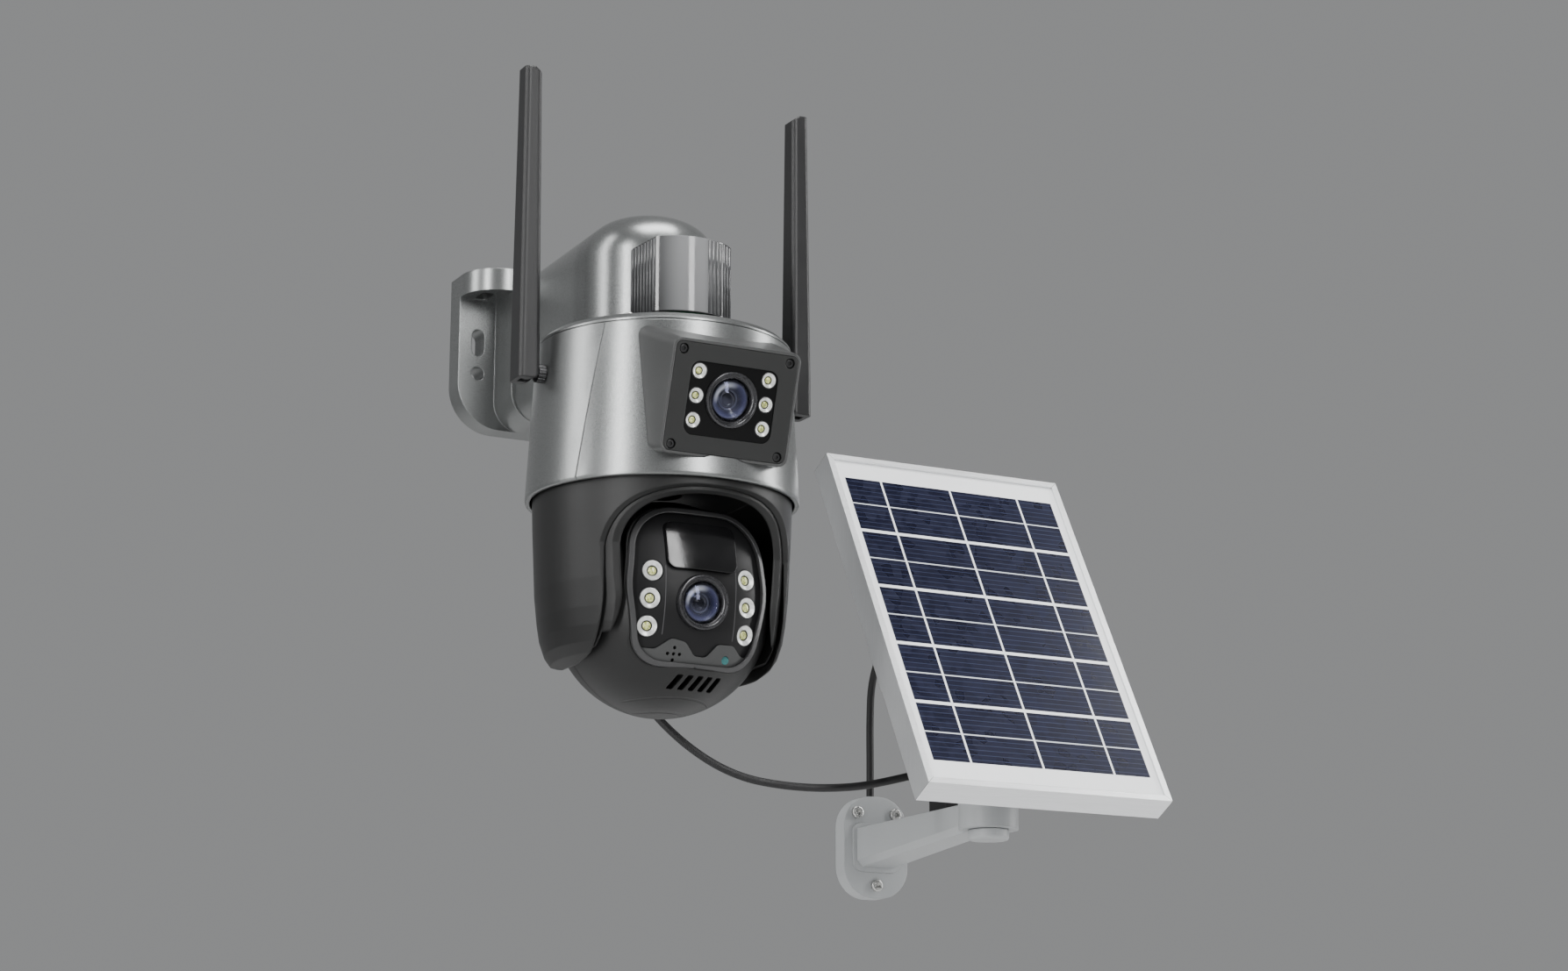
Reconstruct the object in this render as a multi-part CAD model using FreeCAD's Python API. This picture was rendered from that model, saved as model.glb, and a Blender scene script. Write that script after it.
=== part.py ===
import FreeCAD, Part
import math
import os

# An outdoor security camera kit for a wall: a pan-tilt camera head under a fixed camera, both on one
# bracket, and a small solar panel on a bracket of its own, joined to the camera by a lead.
# Millimetres. The wall is the plane Y = 0, the kit faces -Y, +Z is up, and the origin is the centre of
# the camera bracket's back face.

V = FreeCAD.Vector
X_AXIS = V(1, 0, 0)
Z_AXIS = V(0, 0, 1)

# ---- driving dimensions -------------------------------------------------------------------------

WALL = 2.6                 # wall of the moulded covers
SEAM = 0.15                # half the gap at a seam between two covers

PLATE_W = 104.0            # camera bracket: wall plate
PLATE_H = 76.0
PLATE_T = 12.0
ROOF_DEPTH = 34.0
ROOF_T = 11.0
FIXING_X = 42.0            # wall screws, each side of the centre
HOLE_R = 3.4
HOLE_Z = -10.6
SLOT_W = 6.5
SLOT_L = 13.5
SLOT_Z = 5.0

ARM_ROOT_Y = -34.0         # camera bracket: hollow arm
ARM_ROOT_HALF_W = 31.0
NECK_R = 33.0
ARM_END_Y = -118.0         # centre of its round end
ARM_TOP_Z = 40.5
ARM_BOTTOM_Z = -38.0
ARM_CROWN_R = 22.0

BODY_Y = -135.0            # upright axis of the camera body
SHOULDER_TOP_Z = -17.5
RIM_TOP_Z = -27.4
RIM_TOP_R = 58.5
RIM_LOW_Z = -99.0
RIM_LOW_R = 62.5
SIDE_SEAM_Y = -174.0
SIDE_SEAM_SLOPE = -0.146
FLOOR_Z = -84.5
FLOOR_T = 3.0

LAMP_HALF_W = 21.6
LAMP_FRONT_HALF_W = 19.0
LAMP_TOP_Z = 18.3

FACE_W = 62.3              # fixed camera: wedge-shaped block on the housing's front
FACE_H = 50.5
FACE_TILT = 17.5
FACE_CENTRE = V(0, -204.0, -66.7)
BLOCK_DEPTH = 34.0

ANTENNA_X = 68.0           # pivot of each antenna's fold
ANTENNA_Z = -44.3
ANTENNA_TOP_Z = 100.0

TILT_Z = -147.0            # pan-tilt head
BALL_R = 49.0
BALL_HALF_W = 40.8
FACE_DOWN = 7.0            # how far the ball looks down at rest
CAP_R = 75.0               # the ball's flatter front
CAP_DEPTH = 43.0
EAR_R = 34.5
EAR_GAP = 42.0             # half the space between the ears
YOKE_TOP_Z = -91.0

GEAR_MODULE = 0.8
PINION_TEETH = 12
PAN_TEETH = 60
TILT_TEETH = 36

PANEL_X = 182.0            # solar panel and its bracket
PANEL_W = 133.0
PANEL_L = 199.0
PANEL_T = 14.0
PANEL_LEAN = 28.5
PANEL_CENTRE = V(PANEL_X, -127.3, -134.6)
PIVOT_Y = -117.5
RING_R = 14.3
RING_TOP_Z = -219.0
RING_LOW_Z = -233.0
BOLT_Z = -165.0

CORD_R = 1.9


# ---- shapes used in several places --------------------------------------------------------------

def save(name, shape):
    shape.exportStep("parts/%s.step" % name)
    print(name, len(shape.Solids), round(shape.Volume), shape.isValid())


def box(x0, x1, y0, y1, z0, z1):
    return Part.makeBox(x1 - x0, y1 - y0, z1 - z0, V(x0, y0, z0))


def rod(radius, start, end):
    return Part.makeCylinder(radius, (end - start).Length, start, end - start)


def tube(outer, inner, start, end):
    return rod(outer, start, end).cut(rod(inner, start, end))


def group(shapes):
    return Part.makeCompound(shapes)


def mirrored(shape):
    return shape.mirror(V(0, 0, 0), X_AXIS)


def corner(before, point, after, radius):
    """Where a line through a corner starts and ends its arc, and the arc's middle."""
    a = (before - point).normalize()
    b = (after - point).normalize()
    half = a.getAngle(b) / 2.0
    reach = radius / math.tan(half)
    middle = point + (a + b).normalize() * (radius / math.sin(half) - radius)
    return point + a * reach, middle, point + b * reach


def outline(points, radii):
    """A closed flat wire through the points, each corner rounded by its own radius."""
    count = len(points)
    corners = []
    for i in range(count):
        if radii[i] > 0:
            corners.append(corner(points[i - 1], points[i], points[(i + 1) % count], radii[i]))
        else:
            corners.append((points[i], None, points[i]))
    edges = []
    for i in range(count):
        start, middle, end = corners[i]
        if middle is not None:
            edges.append(Part.Arc(start, middle, end).toShape())
        following = corners[(i + 1) % count][0]
        if (following - end).Length > 1e-6:
            edges.append(Part.LineSegment(end, following).toShape())
    return Part.Wire(edges)


def slab(points, radii, depth):
    """A rounded flat outline pushed along a vector."""
    return Part.Face(outline(points, radii)).extrude(depth)


def rounded_box(half_w, half_h, radius, place, start, end):
    """A rounded rectangle on a placement's XY plane, pushed from start to end along its Z."""
    corners = [V(-half_w, -half_h, start), V(half_w, -half_h, start),
               V(half_w, half_h, start), V(-half_w, half_h, start)]
    solid = slab(corners, [radius] * 4, V(0, 0, end - start))
    solid.Placement = place
    return solid


def placed(shape, place):
    shape.Placement = place
    return shape


def around_body(profile):
    """A closed (radius, height) profile turned about the camera body's upright axis."""
    points = [V(r, BODY_Y, z) for r, z in profile]
    wire = Part.makePolygon(points + [points[0]])
    return Part.Face(wire).revolve(V(0, BODY_Y, 0), Z_AXIS, 360)


def rounded_edges(shape, radius, chosen):
    edges = [edge for edge in shape.Edges if chosen(edge)]
    return shape.makeFillet(radius, edges)


def gear(teeth, addendum, dedendum, backlash, thickness, bore):
    """An upright spur gear at the origin, its teeth of involute form; bore 0 leaves it solid."""
    pressure = math.radians(20)
    pitch_r = GEAR_MODULE * teeth / 2.0
    base_r = pitch_r * math.cos(pressure)
    root_r = pitch_r - dedendum * GEAR_MODULE
    tip_r = pitch_r + addendum * GEAR_MODULE
    half_tooth = math.pi / (2 * teeth) - backlash / (2 * pitch_r)

    def involute(radius):
        angle = math.acos(min(1.0, base_r / radius))
        return math.tan(angle) - angle

    steps = 4
    start_r = max(root_r, base_r)
    radii = [start_r + (tip_r - start_r) * i / steps for i in range(steps + 1)]
    flank = [(r, half_tooth + involute(pitch_r) - involute(r)) for r in radii]
    if root_r < base_r:
        flank.insert(0, (root_r, flank[0][1]))
    points = []
    for tooth in range(teeth):
        centre = 2 * math.pi * tooth / teeth
        for r, a in flank:
            points.append(V(r * math.cos(centre - a), r * math.sin(centre - a), 0))
        for r, a in reversed(flank):
            points.append(V(r * math.cos(centre + a), r * math.sin(centre + a), 0))
    blank = Part.Face(Part.makePolygon(points + [points[0]])).extrude(V(0, 0, thickness))
    if bore > 0:
        blank = blank.cut(rod(bore, V(0, 0, 0), V(0, 0, thickness)))
    return blank


def big_gear(teeth, thickness, bore):
    return gear(teeth, 0.7, 1.3, 0.10, thickness, bore)


def pinion(thickness):
    return gear(PINION_TEETH, 0.9, 1.25, 0.10, thickness, 0)


def cord_path(points):
    """Straight runs joined by tangent arcs as large as the runs allow."""
    edges = []
    last = points[0]
    radii = []
    for before, point, after in zip(points, points[1:], points[2:]):
        turn = math.pi - (before - point).getAngle(after - point)
        shorter = min((before - point).Length, (after - point).Length)
        radius = 0.45 * shorter / math.tan(turn / 2.0)
        radii.append(round(radius, 1))
        start, middle, end = corner(before, point, after, radius)
        edges.append(Part.LineSegment(last, start).toShape())
        edges.append(Part.Arc(start, middle, end).toShape())
        last = end
    edges.append(Part.LineSegment(last, points[-1]).toShape())
    return Part.Wire(edges), radii


def cord(name, points):
    path, radii = cord_path(points)
    ring = Part.Wire(Part.makeCircle(CORD_R, points[0], points[1] - points[0]))
    solid = path.makePipeShell([ring], True, False)
    ideal = math.pi * CORD_R ** 2 * path.Length
    print(name, "length", round(path.Length, 1), "radii", radii,
          "volume over ideal", round(solid.Volume / ideal, 4))
    save(name, solid)


os.makedirs("parts", exist_ok=True)


# ---- camera bracket -----------------------------------------------------------------------------

def wall_bracket():
    """Wall plate with a small roof over its screws and the root of the hollow arm."""
    half_w = PLATE_W / 2
    half_h = PLATE_H / 2
    plate = slab([V(-half_w, 0, half_h), V(half_w, 0, half_h), V(half_w, 0, -half_h), V(-half_w, 0,
                                                                                        -half_h)],
                 [3, 3, 22, 22], V(0, -PLATE_T, 0))
    roof_z = half_h - ROOF_T
    roof = slab([V(-half_w, 0, roof_z), V(half_w, 0, roof_z),
                 V(half_w, -ROOF_DEPTH, roof_z), V(-half_w, -ROOF_DEPTH, roof_z)],
                [0, 0, 19, 19], V(0, 0, ROOF_T))
    root = slab([V(-NECK_R, 0, half_h), V(NECK_R, 0, half_h), V(NECK_R, 0, -half_h), V(-NECK_R, 0,
                                                                                       -half_h)],
                [3, 3, 14, 14], V(0, ARM_ROOT_Y, 0))
    shape = plate.fuse([roof, root]).removeSplitter()
    hollow_w = NECK_R - 4.4
    hollow = slab([V(-hollow_w, -4, 33), V(hollow_w, -4, 33), V(hollow_w, -4, -33), V(-hollow_w, -4, -33)],
                  [3, 3, 10, 10], V(0, ARM_ROOT_Y, 0))
    cuts = [hollow]
    for x in (-FIXING_X, FIXING_X):
        cuts.append(rod(HOLE_R, V(x, 0, HOLE_Z), V(x, -PLATE_T, HOLE_Z)))
        half_slot = (SLOT_L - SLOT_W) / 2
        cuts.append(box(x - SLOT_W / 2, x + SLOT_W / 2, -PLATE_T, 0, SLOT_Z - half_slot,
                        SLOT_Z + half_slot))
        for z in (SLOT_Z - half_slot, SLOT_Z + half_slot):
            cuts.append(rod(SLOT_W / 2, V(x, 0, z), V(x, -PLATE_T, z)))
        pocket = slab([V(x - 3.2, -13, roof_z), V(x + 3.2, -13, roof_z),
                       V(x + 3.2, -25, roof_z), V(x - 3.2, -25, roof_z)], [2.5] * 4, V(0, 0, 5))
        cuts.append(pocket)
        cuts.append(rod(1.6, V(x, -17, roof_z), V(x, -17, roof_z + 9)))
    return shape.cut(group(cuts))


def screw(place, head_r, head_t, shank_r, shank_l, socket_r):
    """A pan head screw with a hexagon socket; its head sits on the placement's XY plane."""
    head = rod(head_r, V(0, 0, 0), V(0, 0, head_t))
    head = rounded_edges(head, head_t * 0.4, lambda e: e.BoundBox.ZMin > head_t - 0.01)
    shank = rod(shank_r, V(0, 0, -shank_l), V(0, 0, 0))
    hexagon = [V(socket_r * math.cos(math.radians(60 * i)), socket_r * math.sin(math.radians(60 * i)),
                 head_t * 0.35) for i in range(6)]
    socket = Part.Face(Part.makePolygon(hexagon + [hexagon[0]])).extrude(V(0, 0, head_t))
    return placed(head.fuse(shank).cut(socket), place)


def facing(position, direction):
    """A placement whose Z looks along a direction."""
    return FreeCAD.Placement(position, FreeCAD.Rotation(Z_AXIS, direction))


save("wall_bracket", wall_bracket())


def arm_solid(inset):
    """The arm's round-ended bar, with a crowned top and softened lower edges."""
    root_w = ARM_ROOT_HALF_W - inset
    neck_r = NECK_R - inset
    low = ARM_BOTTOM_Z + inset
    top = ARM_TOP_Z - inset
    back = ARM_ROOT_Y
    corners = [V(root_w, back, low), V(neck_r, ARM_END_Y, low), V(0, ARM_END_Y - neck_r, low),
               V(-neck_r, ARM_END_Y, low), V(-root_w, back, low)]
    edges = [Part.LineSegment(corners[4], corners[0]).toShape(),
             Part.LineSegment(corners[0], corners[1]).toShape(),
             Part.Arc(corners[1], corners[2], corners[3]).toShape(),
             Part.LineSegment(corners[3], corners[4]).toShape()]
    bar = Part.Face(Part.Wire(edges)).extrude(V(0, 0, top - low))
    bar = rounded_edges(bar, ARM_CROWN_R - inset,
                        lambda e: e.BoundBox.ZMin > top - 0.01 and e.BoundBox.YMin < back - 1)
    return rounded_edges(bar, 12 - inset,
                         lambda e: e.BoundBox.ZMax < low + 0.01 and e.BoundBox.YMin < back - 1)


def housing_radius(z):
    return RIM_TOP_R + (RIM_LOW_R - RIM_TOP_R) * (RIM_TOP_Z - z) / (RIM_TOP_Z - RIM_LOW_Z)


def body_envelope():
    """Everything inside the outer faces of the shoulder and the housing, and a hair more."""
    hair = 0.06
    return around_body([(0, SHOULDER_TOP_Z + 0.5 + hair), (24, SHOULDER_TOP_Z + 0.5 + hair),
                        (36, SHOULDER_TOP_Z + hair), (56, -23.8 + hair), (RIM_TOP_R + hair, -26.2),
                        (RIM_TOP_R + hair, RIM_TOP_Z), (RIM_LOW_R + hair, RIM_LOW_Z), (0, RIM_LOW_Z)])


ENVELOPE = body_envelope()
ARM_OUTSIDE = arm_solid(0)
GLAND = V(4, -48, ARM_BOTTOM_Z)

arm = ARM_OUTSIDE.cut(arm_solid(WALL)).cut(ENVELOPE).cut(rod(3.55, GLAND, GLAND + V(0, 0, 5)))
save("bracket_arm", arm)


# ---- camera body: shoulder, housing and floor ---------------------------------------------------

shoulder = around_body([(24, SHOULDER_TOP_Z + 0.5), (36, SHOULDER_TOP_Z), (56, -23.8), (RIM_TOP_R, -26.2),
                        (RIM_TOP_R, RIM_TOP_Z + SEAM), (RIM_TOP_R - WALL, RIM_TOP_Z + SEAM), (54.5, -26.6),
                        (36, -20.6), (24, -20.2)])
SHOULDER_SCREW_AT = [V(x, y, -24.2) for x, y in ((-35, -172.5), (35, -172.5))]
shoulder = shoulder.cut(group([rod(2.9, p, p + V(0, 0, 6)) for p in SHOULDER_SCREW_AT]))
shoulder = shoulder.cut(group([rod(1.6, p - V(0, 0, 5), p) for p in SHOULDER_SCREW_AT]))
save("shoulder_cap", shoulder)
roof_screws = [screw(facing(V(x, -17, PLATE_H / 2 - ROOF_T + 5), V(0, 0, -1)), 2.4, 1.6, 1.5, 3.5, 1.2)
               for x in (-FIXING_X, FIXING_X)]
save("cover_screws", group(roof_screws + [screw(facing(p, Z_AXIS), 2.6, 1.7, 1.4, 7, 1.2)
                                          for p in SHOULDER_SCREW_AT]))


def face_place(centre, tilt_down):
    """X to the right as seen from the front, Y up the face, Z straight out of it."""
    turn = FreeCAD.Rotation(X_AXIS, 90 + tilt_down)
    return FreeCAD.Placement(centre, turn)


BLOCK = face_place(FACE_CENTRE, FACE_TILT)


def tapered_block(half_w, half_h, radius, spread, front, back):
    """Rounded rectangles lofted from the face to a larger one behind it."""
    wires = []
    for depth, grow in ((front, 0.0), (back, spread)):
        w = half_w + grow
        h = half_h + grow
        wires.append(outline([V(-w, -h, depth), V(w, -h, depth), V(w, h, depth), V(-w, h, depth)],
                             [radius + grow * 0.5] * 4))
    return placed(Part.makeLoft(wires, True, True), BLOCK)


FRAME_T = 3.0
BLOCK_CAVITY = tapered_block(FACE_W / 2 - 2.6, FACE_H / 2 - 2.6, 3.0, 2.5, -FRAME_T, -BLOCK_DEPTH)
BLOCK_RECESS = rounded_box(FACE_W / 2 - 1.2, FACE_H / 2 - 1.2, 3.2, BLOCK, -FRAME_T, 1)


def housing_shell():
    top = RIM_TOP_Z - SEAM
    shell = around_body([(housing_radius(top), top), (housing_radius(-97.5), -97.5),
                         (RIM_LOW_R - 0.3, -98.6),
                         (RIM_LOW_R - 1.0, RIM_LOW_Z), (RIM_LOW_R - 2.2, RIM_LOW_Z),
                         (RIM_LOW_R - WALL, -98.4), (housing_radius(top) - WALL, top)])
    cuts = [BLOCK_CAVITY, BLOCK_RECESS]
    for side in (-1, 1):
        cuts.append(rod(3.2, V(side * 50, BODY_Y, ANTENNA_Z), V(side * 70, BODY_Y, ANTENNA_Z)))
    return shell.cut(group(cuts))


def seam_side(front):
    """The space in front of, or behind, the sloping plane where the housing's two halves meet."""
    shift = -SEAM if front else SEAM
    far = -260.0 if front else 0.0
    top = 0.0
    low = -120.0
    y_top = SIDE_SEAM_Y + shift
    y_low = SIDE_SEAM_Y + shift + (low - RIM_TOP_Z) * SIDE_SEAM_SLOPE
    points = [V(-90, y_top, top), V(-90, y_low, low), V(-90, far, low), V(-90, far, top)]
    return Part.Face(Part.makePolygon(points + [points[0]])).extrude(V(180, 0, 0))


shell = housing_shell()
save("housing_front", shell.common(seam_side(True)))
save("housing_rear", shell.common(seam_side(False)))

HUB_R = 12.0
PAN_CENTRES = GEAR_MODULE * (PAN_TEETH + PINION_TEETH) / 2
PAN_MOTOR_AT = V(0, BODY_Y + PAN_CENTRES, 0)
floor = rod(58.6, V(0, BODY_Y, FLOOR_Z), V(0, BODY_Y, FLOOR_Z + FLOOR_T))
floor = floor.cut(rod(HUB_R + 0.06, V(0, BODY_Y, FLOOR_Z), V(0, BODY_Y, FLOOR_Z + FLOOR_T)))
floor = floor.cut(rod(5.8, PAN_MOTOR_AT + V(0, 0, FLOOR_Z), PAN_MOTOR_AT + V(0, 0, FLOOR_Z + FLOOR_T)))
save("housing_floor", floor)

motor_low = PAN_MOTOR_AT + V(0, 0, FLOOR_Z + FLOOR_T)
save("pan_motor", rod(12, motor_low, motor_low + V(0, 0, 16)))
save("pan_pinion", pinion(5.2).translated(PAN_MOTOR_AT + V(0, 0, YOKE_TOP_Z + 0.4)).fuse(
    rod(1.5, PAN_MOTOR_AT + V(0, 0, YOKE_TOP_Z + 5), motor_low - V(0, 0, 0.3))))

BOARD_Y = -160.0
CELL_R = 9.0
CELL_PITCH = 18.2
save("battery_cells", group([rod(CELL_R, V(x, -100, 8), V(x, -35, 8)) for x in (-CELL_PITCH, 0,
                                                                                CELL_PITCH)]))
TRAY_HALF_W = 28.2
tray = box(-TRAY_HALF_W, TRAY_HALF_W, -102, -33, -3.5, 12)
tray = tray.cut(box(0.9 - TRAY_HALF_W, TRAY_HALF_W - 0.9, -100.4, -34.6, -1.4, 12))
save("battery_tray", tray)


# ---- alarm lamp on the shoulder -----------------------------------------------------------------

def lamp_outline(inset):
    """Two long cheeks and a bowed front; the back lies inside the arm's round end."""
    back_w = LAMP_HALF_W - inset
    front_w = LAMP_FRONT_HALF_W - inset * 0.9
    low = SHOULDER_TOP_Z + 0.6
    back_y = BODY_Y + 4
    corner_y = BODY_Y - 30.5 + inset * 0.8
    points = [V(-back_w, back_y, low), V(-front_w, corner_y, low), V(0, BODY_Y - 38.5 + inset, low),
              V(front_w, corner_y, low), V(back_w, back_y, low)]
    edges = [Part.LineSegment(points[0], points[1]).toShape(),
             Part.Arc(points[1], points[2], points[3]).toShape(),
             Part.LineSegment(points[3], points[4]).toShape(),
             Part.LineSegment(points[4], points[0]).toShape()]
    return Part.Face(Part.Wire(edges))


NECK_ROUND = rod(NECK_R, V(0, ARM_END_Y, -30), V(0, ARM_END_Y, 30))
lamp_low = SHOULDER_TOP_Z + 0.6
lamp = lamp_outline(0).extrude(V(0, 0, LAMP_TOP_Z - lamp_low))
lamp_space = lamp_outline(2.0).extrude(V(0, 0, LAMP_TOP_Z - lamp_low - 2))
save("alarm_lamp_cover", lamp.cut(lamp_space).cut(ARM_OUTSIDE))
board = lamp_outline(4.5).extrude(V(0, 0, 1.6)).cut(NECK_ROUND)
leds = [box(x - 2, x + 2, BODY_Y - y - 1, BODY_Y - y + 1, lamp_low + 1.6, lamp_low + 12)
        for x, y in ((-12, 26.5), (-5, 31.0), (5, 31.0), (12, 26.5))]
save("alarm_lamp_board", board.fuse(leds[0]).fuse(leds[1:]).cut(NECK_ROUND))


# ---- fixed camera -------------------------------------------------------------------------------

outer = tapered_block(FACE_W / 2, FACE_H / 2, 4.0, 4.5, 0, -BLOCK_DEPTH)
block = outer.cut(ENVELOPE).cut(BLOCK_CAVITY).cut(BLOCK_RECESS)
save("lens_block_shell", max(block.Solids, key=lambda s: s.Volume))

WINDOW_HALF = V(21.4, 16.2, 0)
SCREW_AT = [V(x, y, 0) for x in (-26, 26) for y in (-21.2, 20.6)]
LENS_UP = 1.1
CUP_R = 3.7
CUP_AT = [V(side * 17.0, LENS_UP + step * 10.8, 0) for side in (-1, 1) for step in (-1, 0, 1)]
frame = rounded_box(FACE_W / 2 - 1.4, FACE_H / 2 - 1.4, 3.0, FreeCAD.Placement(), -FRAME_T, 0)
frame = frame.cut(rounded_box(WINDOW_HALF.x, WINDOW_HALF.y, 4.5, FreeCAD.Placement(), -FRAME_T, 0))
frame = frame.cut(group([rod(2.3, p - V(0, 0, 1.8), p) for p in SCREW_AT]))
frame = frame.cut(group([rod(1.2, p - V(0, 0, FRAME_T), p) for p in SCREW_AT]))
save("lens_block_frame", placed(frame, BLOCK))
save("lens_block_screws", group([screw(BLOCK.multiply(facing(p - V(0, 0, 1.8), Z_AXIS)), 1.95, 1.2,
                                       1.1, 4.5, 1.0)
                                 for p in SCREW_AT]))
window = rounded_box(WINDOW_HALF.x - 0.1, WINDOW_HALF.y - 0.1, 4.4, FreeCAD.Placement(), -2.6, -0.6)
window = window.cut(rod(12.5, V(0, LENS_UP, -3), V(0, LENS_UP, 0)))
window = window.cut(group([rod(CUP_R + 0.1, p - V(0, 0, 3), p) for p in CUP_AT]))
save("lens_block_window", placed(window, BLOCK))


def led_cups(places, radius, depth):
    """Shallow conical reflectors, each with its square lamp chip at the bottom."""
    cups = []
    for place in places:
        body = Part.makeCylinder(radius, depth)
        bowl = Part.makeCone(radius * 0.42, radius * 0.9, depth - 0.6, V(0, 0, 0.6))
        chip = box(-1.1, 1.1, -1.1, 1.1, 0.6, 1.3)
        cups.append(placed(body.cut(bowl).fuse(chip), place))
    return group(cups)


def lens_barrel(radius, place, front, back):
    """A stepped, ringed barrel, open at the front for its glass."""
    barrel = Part.makeCylinder(radius, front - back, V(0, 0, back))
    step = Part.makeCone(radius * 0.62, radius * 0.92, 2.6, V(0, 0, front - 2.6))
    bore = Part.makeCylinder(radius * 0.62, front - back - 6, V(0, 0, back + 6))
    return placed(barrel.cut(step).cut(bore), place)


def lens_glass(radius, place, front):
    """A domed front element seated in the barrel's bore."""
    seat = radius * 0.61
    dome_r = seat * 1.25
    ball = Part.makeSphere(dome_r, V(0, 0, front - dome_r - 0.4))
    cylinder = Part.makeCylinder(seat, dome_r + 4, V(0, 0, front - 6))
    return placed(cylinder.common(ball), place)


fixed_cup_places = [BLOCK.multiply(FreeCAD.Placement(p - V(0, 0, 3.6), FreeCAD.Rotation())) for p in CUP_AT]
save("fixed_led_cups", led_cups(fixed_cup_places, CUP_R, 3.2))
fixed_lens = BLOCK.multiply(FreeCAD.Placement(V(0, LENS_UP, 0), FreeCAD.Rotation()))
save("fixed_lens_barrel", lens_barrel(12.4, fixed_lens, 0.8, -14))
save("fixed_lens_glass", lens_glass(12.4, fixed_lens, -0.6))
board = rounded_box(24, 14, 2, BLOCK, -5.8, -4.2).cut(
    placed(Part.makeCylinder(12.7, 6, V(0, LENS_UP, -7)), BLOCK))
save("circuit_boards", group([board, box(-36, 36, BOARD_Y, BOARD_Y + 1.6, -78, -34)]))


# ---- antennas -----------------------------------------------------------------------------------

def antenna_socket():
    """Threaded socket in the housing wall, its flange inside."""
    socket = rod(3.15, V(54, BODY_Y, ANTENNA_Z), V(59.9, BODY_Y, ANTENNA_Z))
    return socket.fuse(rod(4.5, V(54, BODY_Y, ANTENNA_Z), V(55.8, BODY_Y, ANTENNA_Z)))


def antenna_nut():
    """Grooved coupling nut; the knuckle's neck turns in its bore."""
    nut = tube(4.3, 2.3, V(60.0, BODY_Y, ANTENNA_Z), V(63.4, BODY_Y, ANTENNA_Z))
    grooves = []
    for i in range(16):
        angle = math.radians(22.5 * i)
        at = V(60.0, BODY_Y + 4.4 * math.cos(angle), ANTENNA_Z + 4.4 * math.sin(angle))
        grooves.append(rod(0.4, at, at + V(3.4, 0, 0)))
    return nut.cut(group(grooves))


def antenna_knuckle():
    """Neck, tongue and cross pin; it swivels in the nut and carries the blade."""
    pivot = V(ANTENNA_X, BODY_Y, ANTENNA_Z)
    neck = rod(2.24, V(60.4, BODY_Y, ANTENNA_Z), V(ANTENNA_X - 1, BODY_Y, ANTENNA_Z))
    tongue = rod(3.4, pivot - V(0, 2.3, 0), pivot + V(0, 2.3, 0))
    pin = rod(1.0, pivot - V(0, 5.4, 0), pivot + V(0, 5.4, 0))
    return tongue.fuse([neck, pin]).removeSplitter()


def antenna_blade():
    """Flattened, tapering cover with a slanted tip; its foot is a fork on the knuckle's pin."""
    pivot = V(ANTENNA_X, BODY_Y, ANTENNA_Z)
    foot_z = ANTENNA_Z - 4.1
    sections = [(foot_z, 6.6, 5.0), (-30, 6.6, 5.0), (ANTENNA_TOP_Z, 5.0, 4.1)]
    middle_x = ANTENNA_X + 1.0
    wires = []
    for z, half_y, half_x in sections:
        wires.append(outline([V(middle_x - half_x, BODY_Y - half_y, z), V(middle_x + half_x,
                                                                          BODY_Y - half_y, z),
                              V(middle_x + half_x, BODY_Y + half_y, z), V(middle_x - half_x,
                                                                          BODY_Y + half_y, z)],
                             [2.2] * 4))
    blade = Part.makeLoft(wires, True, True)
    slant = [V(60, -160, 94), V(68.5, -160, ANTENNA_TOP_Z), V(80, -160, ANTENNA_TOP_Z + 4), V(60,
                                                                                              -160, 110)]
    blade = blade.cut(Part.Face(Part.makePolygon(slant + [slant[0]])).extrude(V(0, 60, 0)))
    slot = box(60, ANTENNA_X + 3.7, BODY_Y - 2.5, BODY_Y + 2.5, foot_z - 1, ANTENNA_Z + 3.8)
    low_corner = box(60, ANTENNA_X, BODY_Y - 8, BODY_Y + 8, foot_z - 1, ANTENNA_Z)
    low_corner = low_corner.cut(rod(4.1, pivot - V(0, 9, 0), pivot + V(0, 9, 0)))
    return blade.cut(slot).cut(low_corner).cut(rod(1.05, pivot - V(0, 5.5, 0), pivot + V(0, 5.5, 0)))


connector = [antenna_socket(), antenna_nut()]
save("antenna_connectors", group(connector + [mirrored(piece) for piece in connector]))
save("right_antenna_knuckle", antenna_knuckle())
save("left_antenna_knuckle", mirrored(antenna_knuckle()))
save("right_antenna_blade", antenna_blade())
save("left_antenna_blade", mirrored(antenna_blade()))


# ---- pan-tilt head: yoke ------------------------------------------------------------------------

TILT = V(0, BODY_Y, TILT_Z)


def yoke_envelope(inset):
    """The head's outer form: a cylinder narrowing towards the ears' lower ends."""
    return around_body([(0, YOKE_TOP_Z - 3), (59.2 - inset, YOKE_TOP_Z - 3), (58.6 - inset, -112),
                        (57.2 - inset, -142), (55.9 - inset, -154.5), (54.6 - inset, -162.5),
                        (52.3 - inset, -169.2), (49.3 - inset, -173.6), (45.0 - inset, -176.8), (0, -178)])


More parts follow.
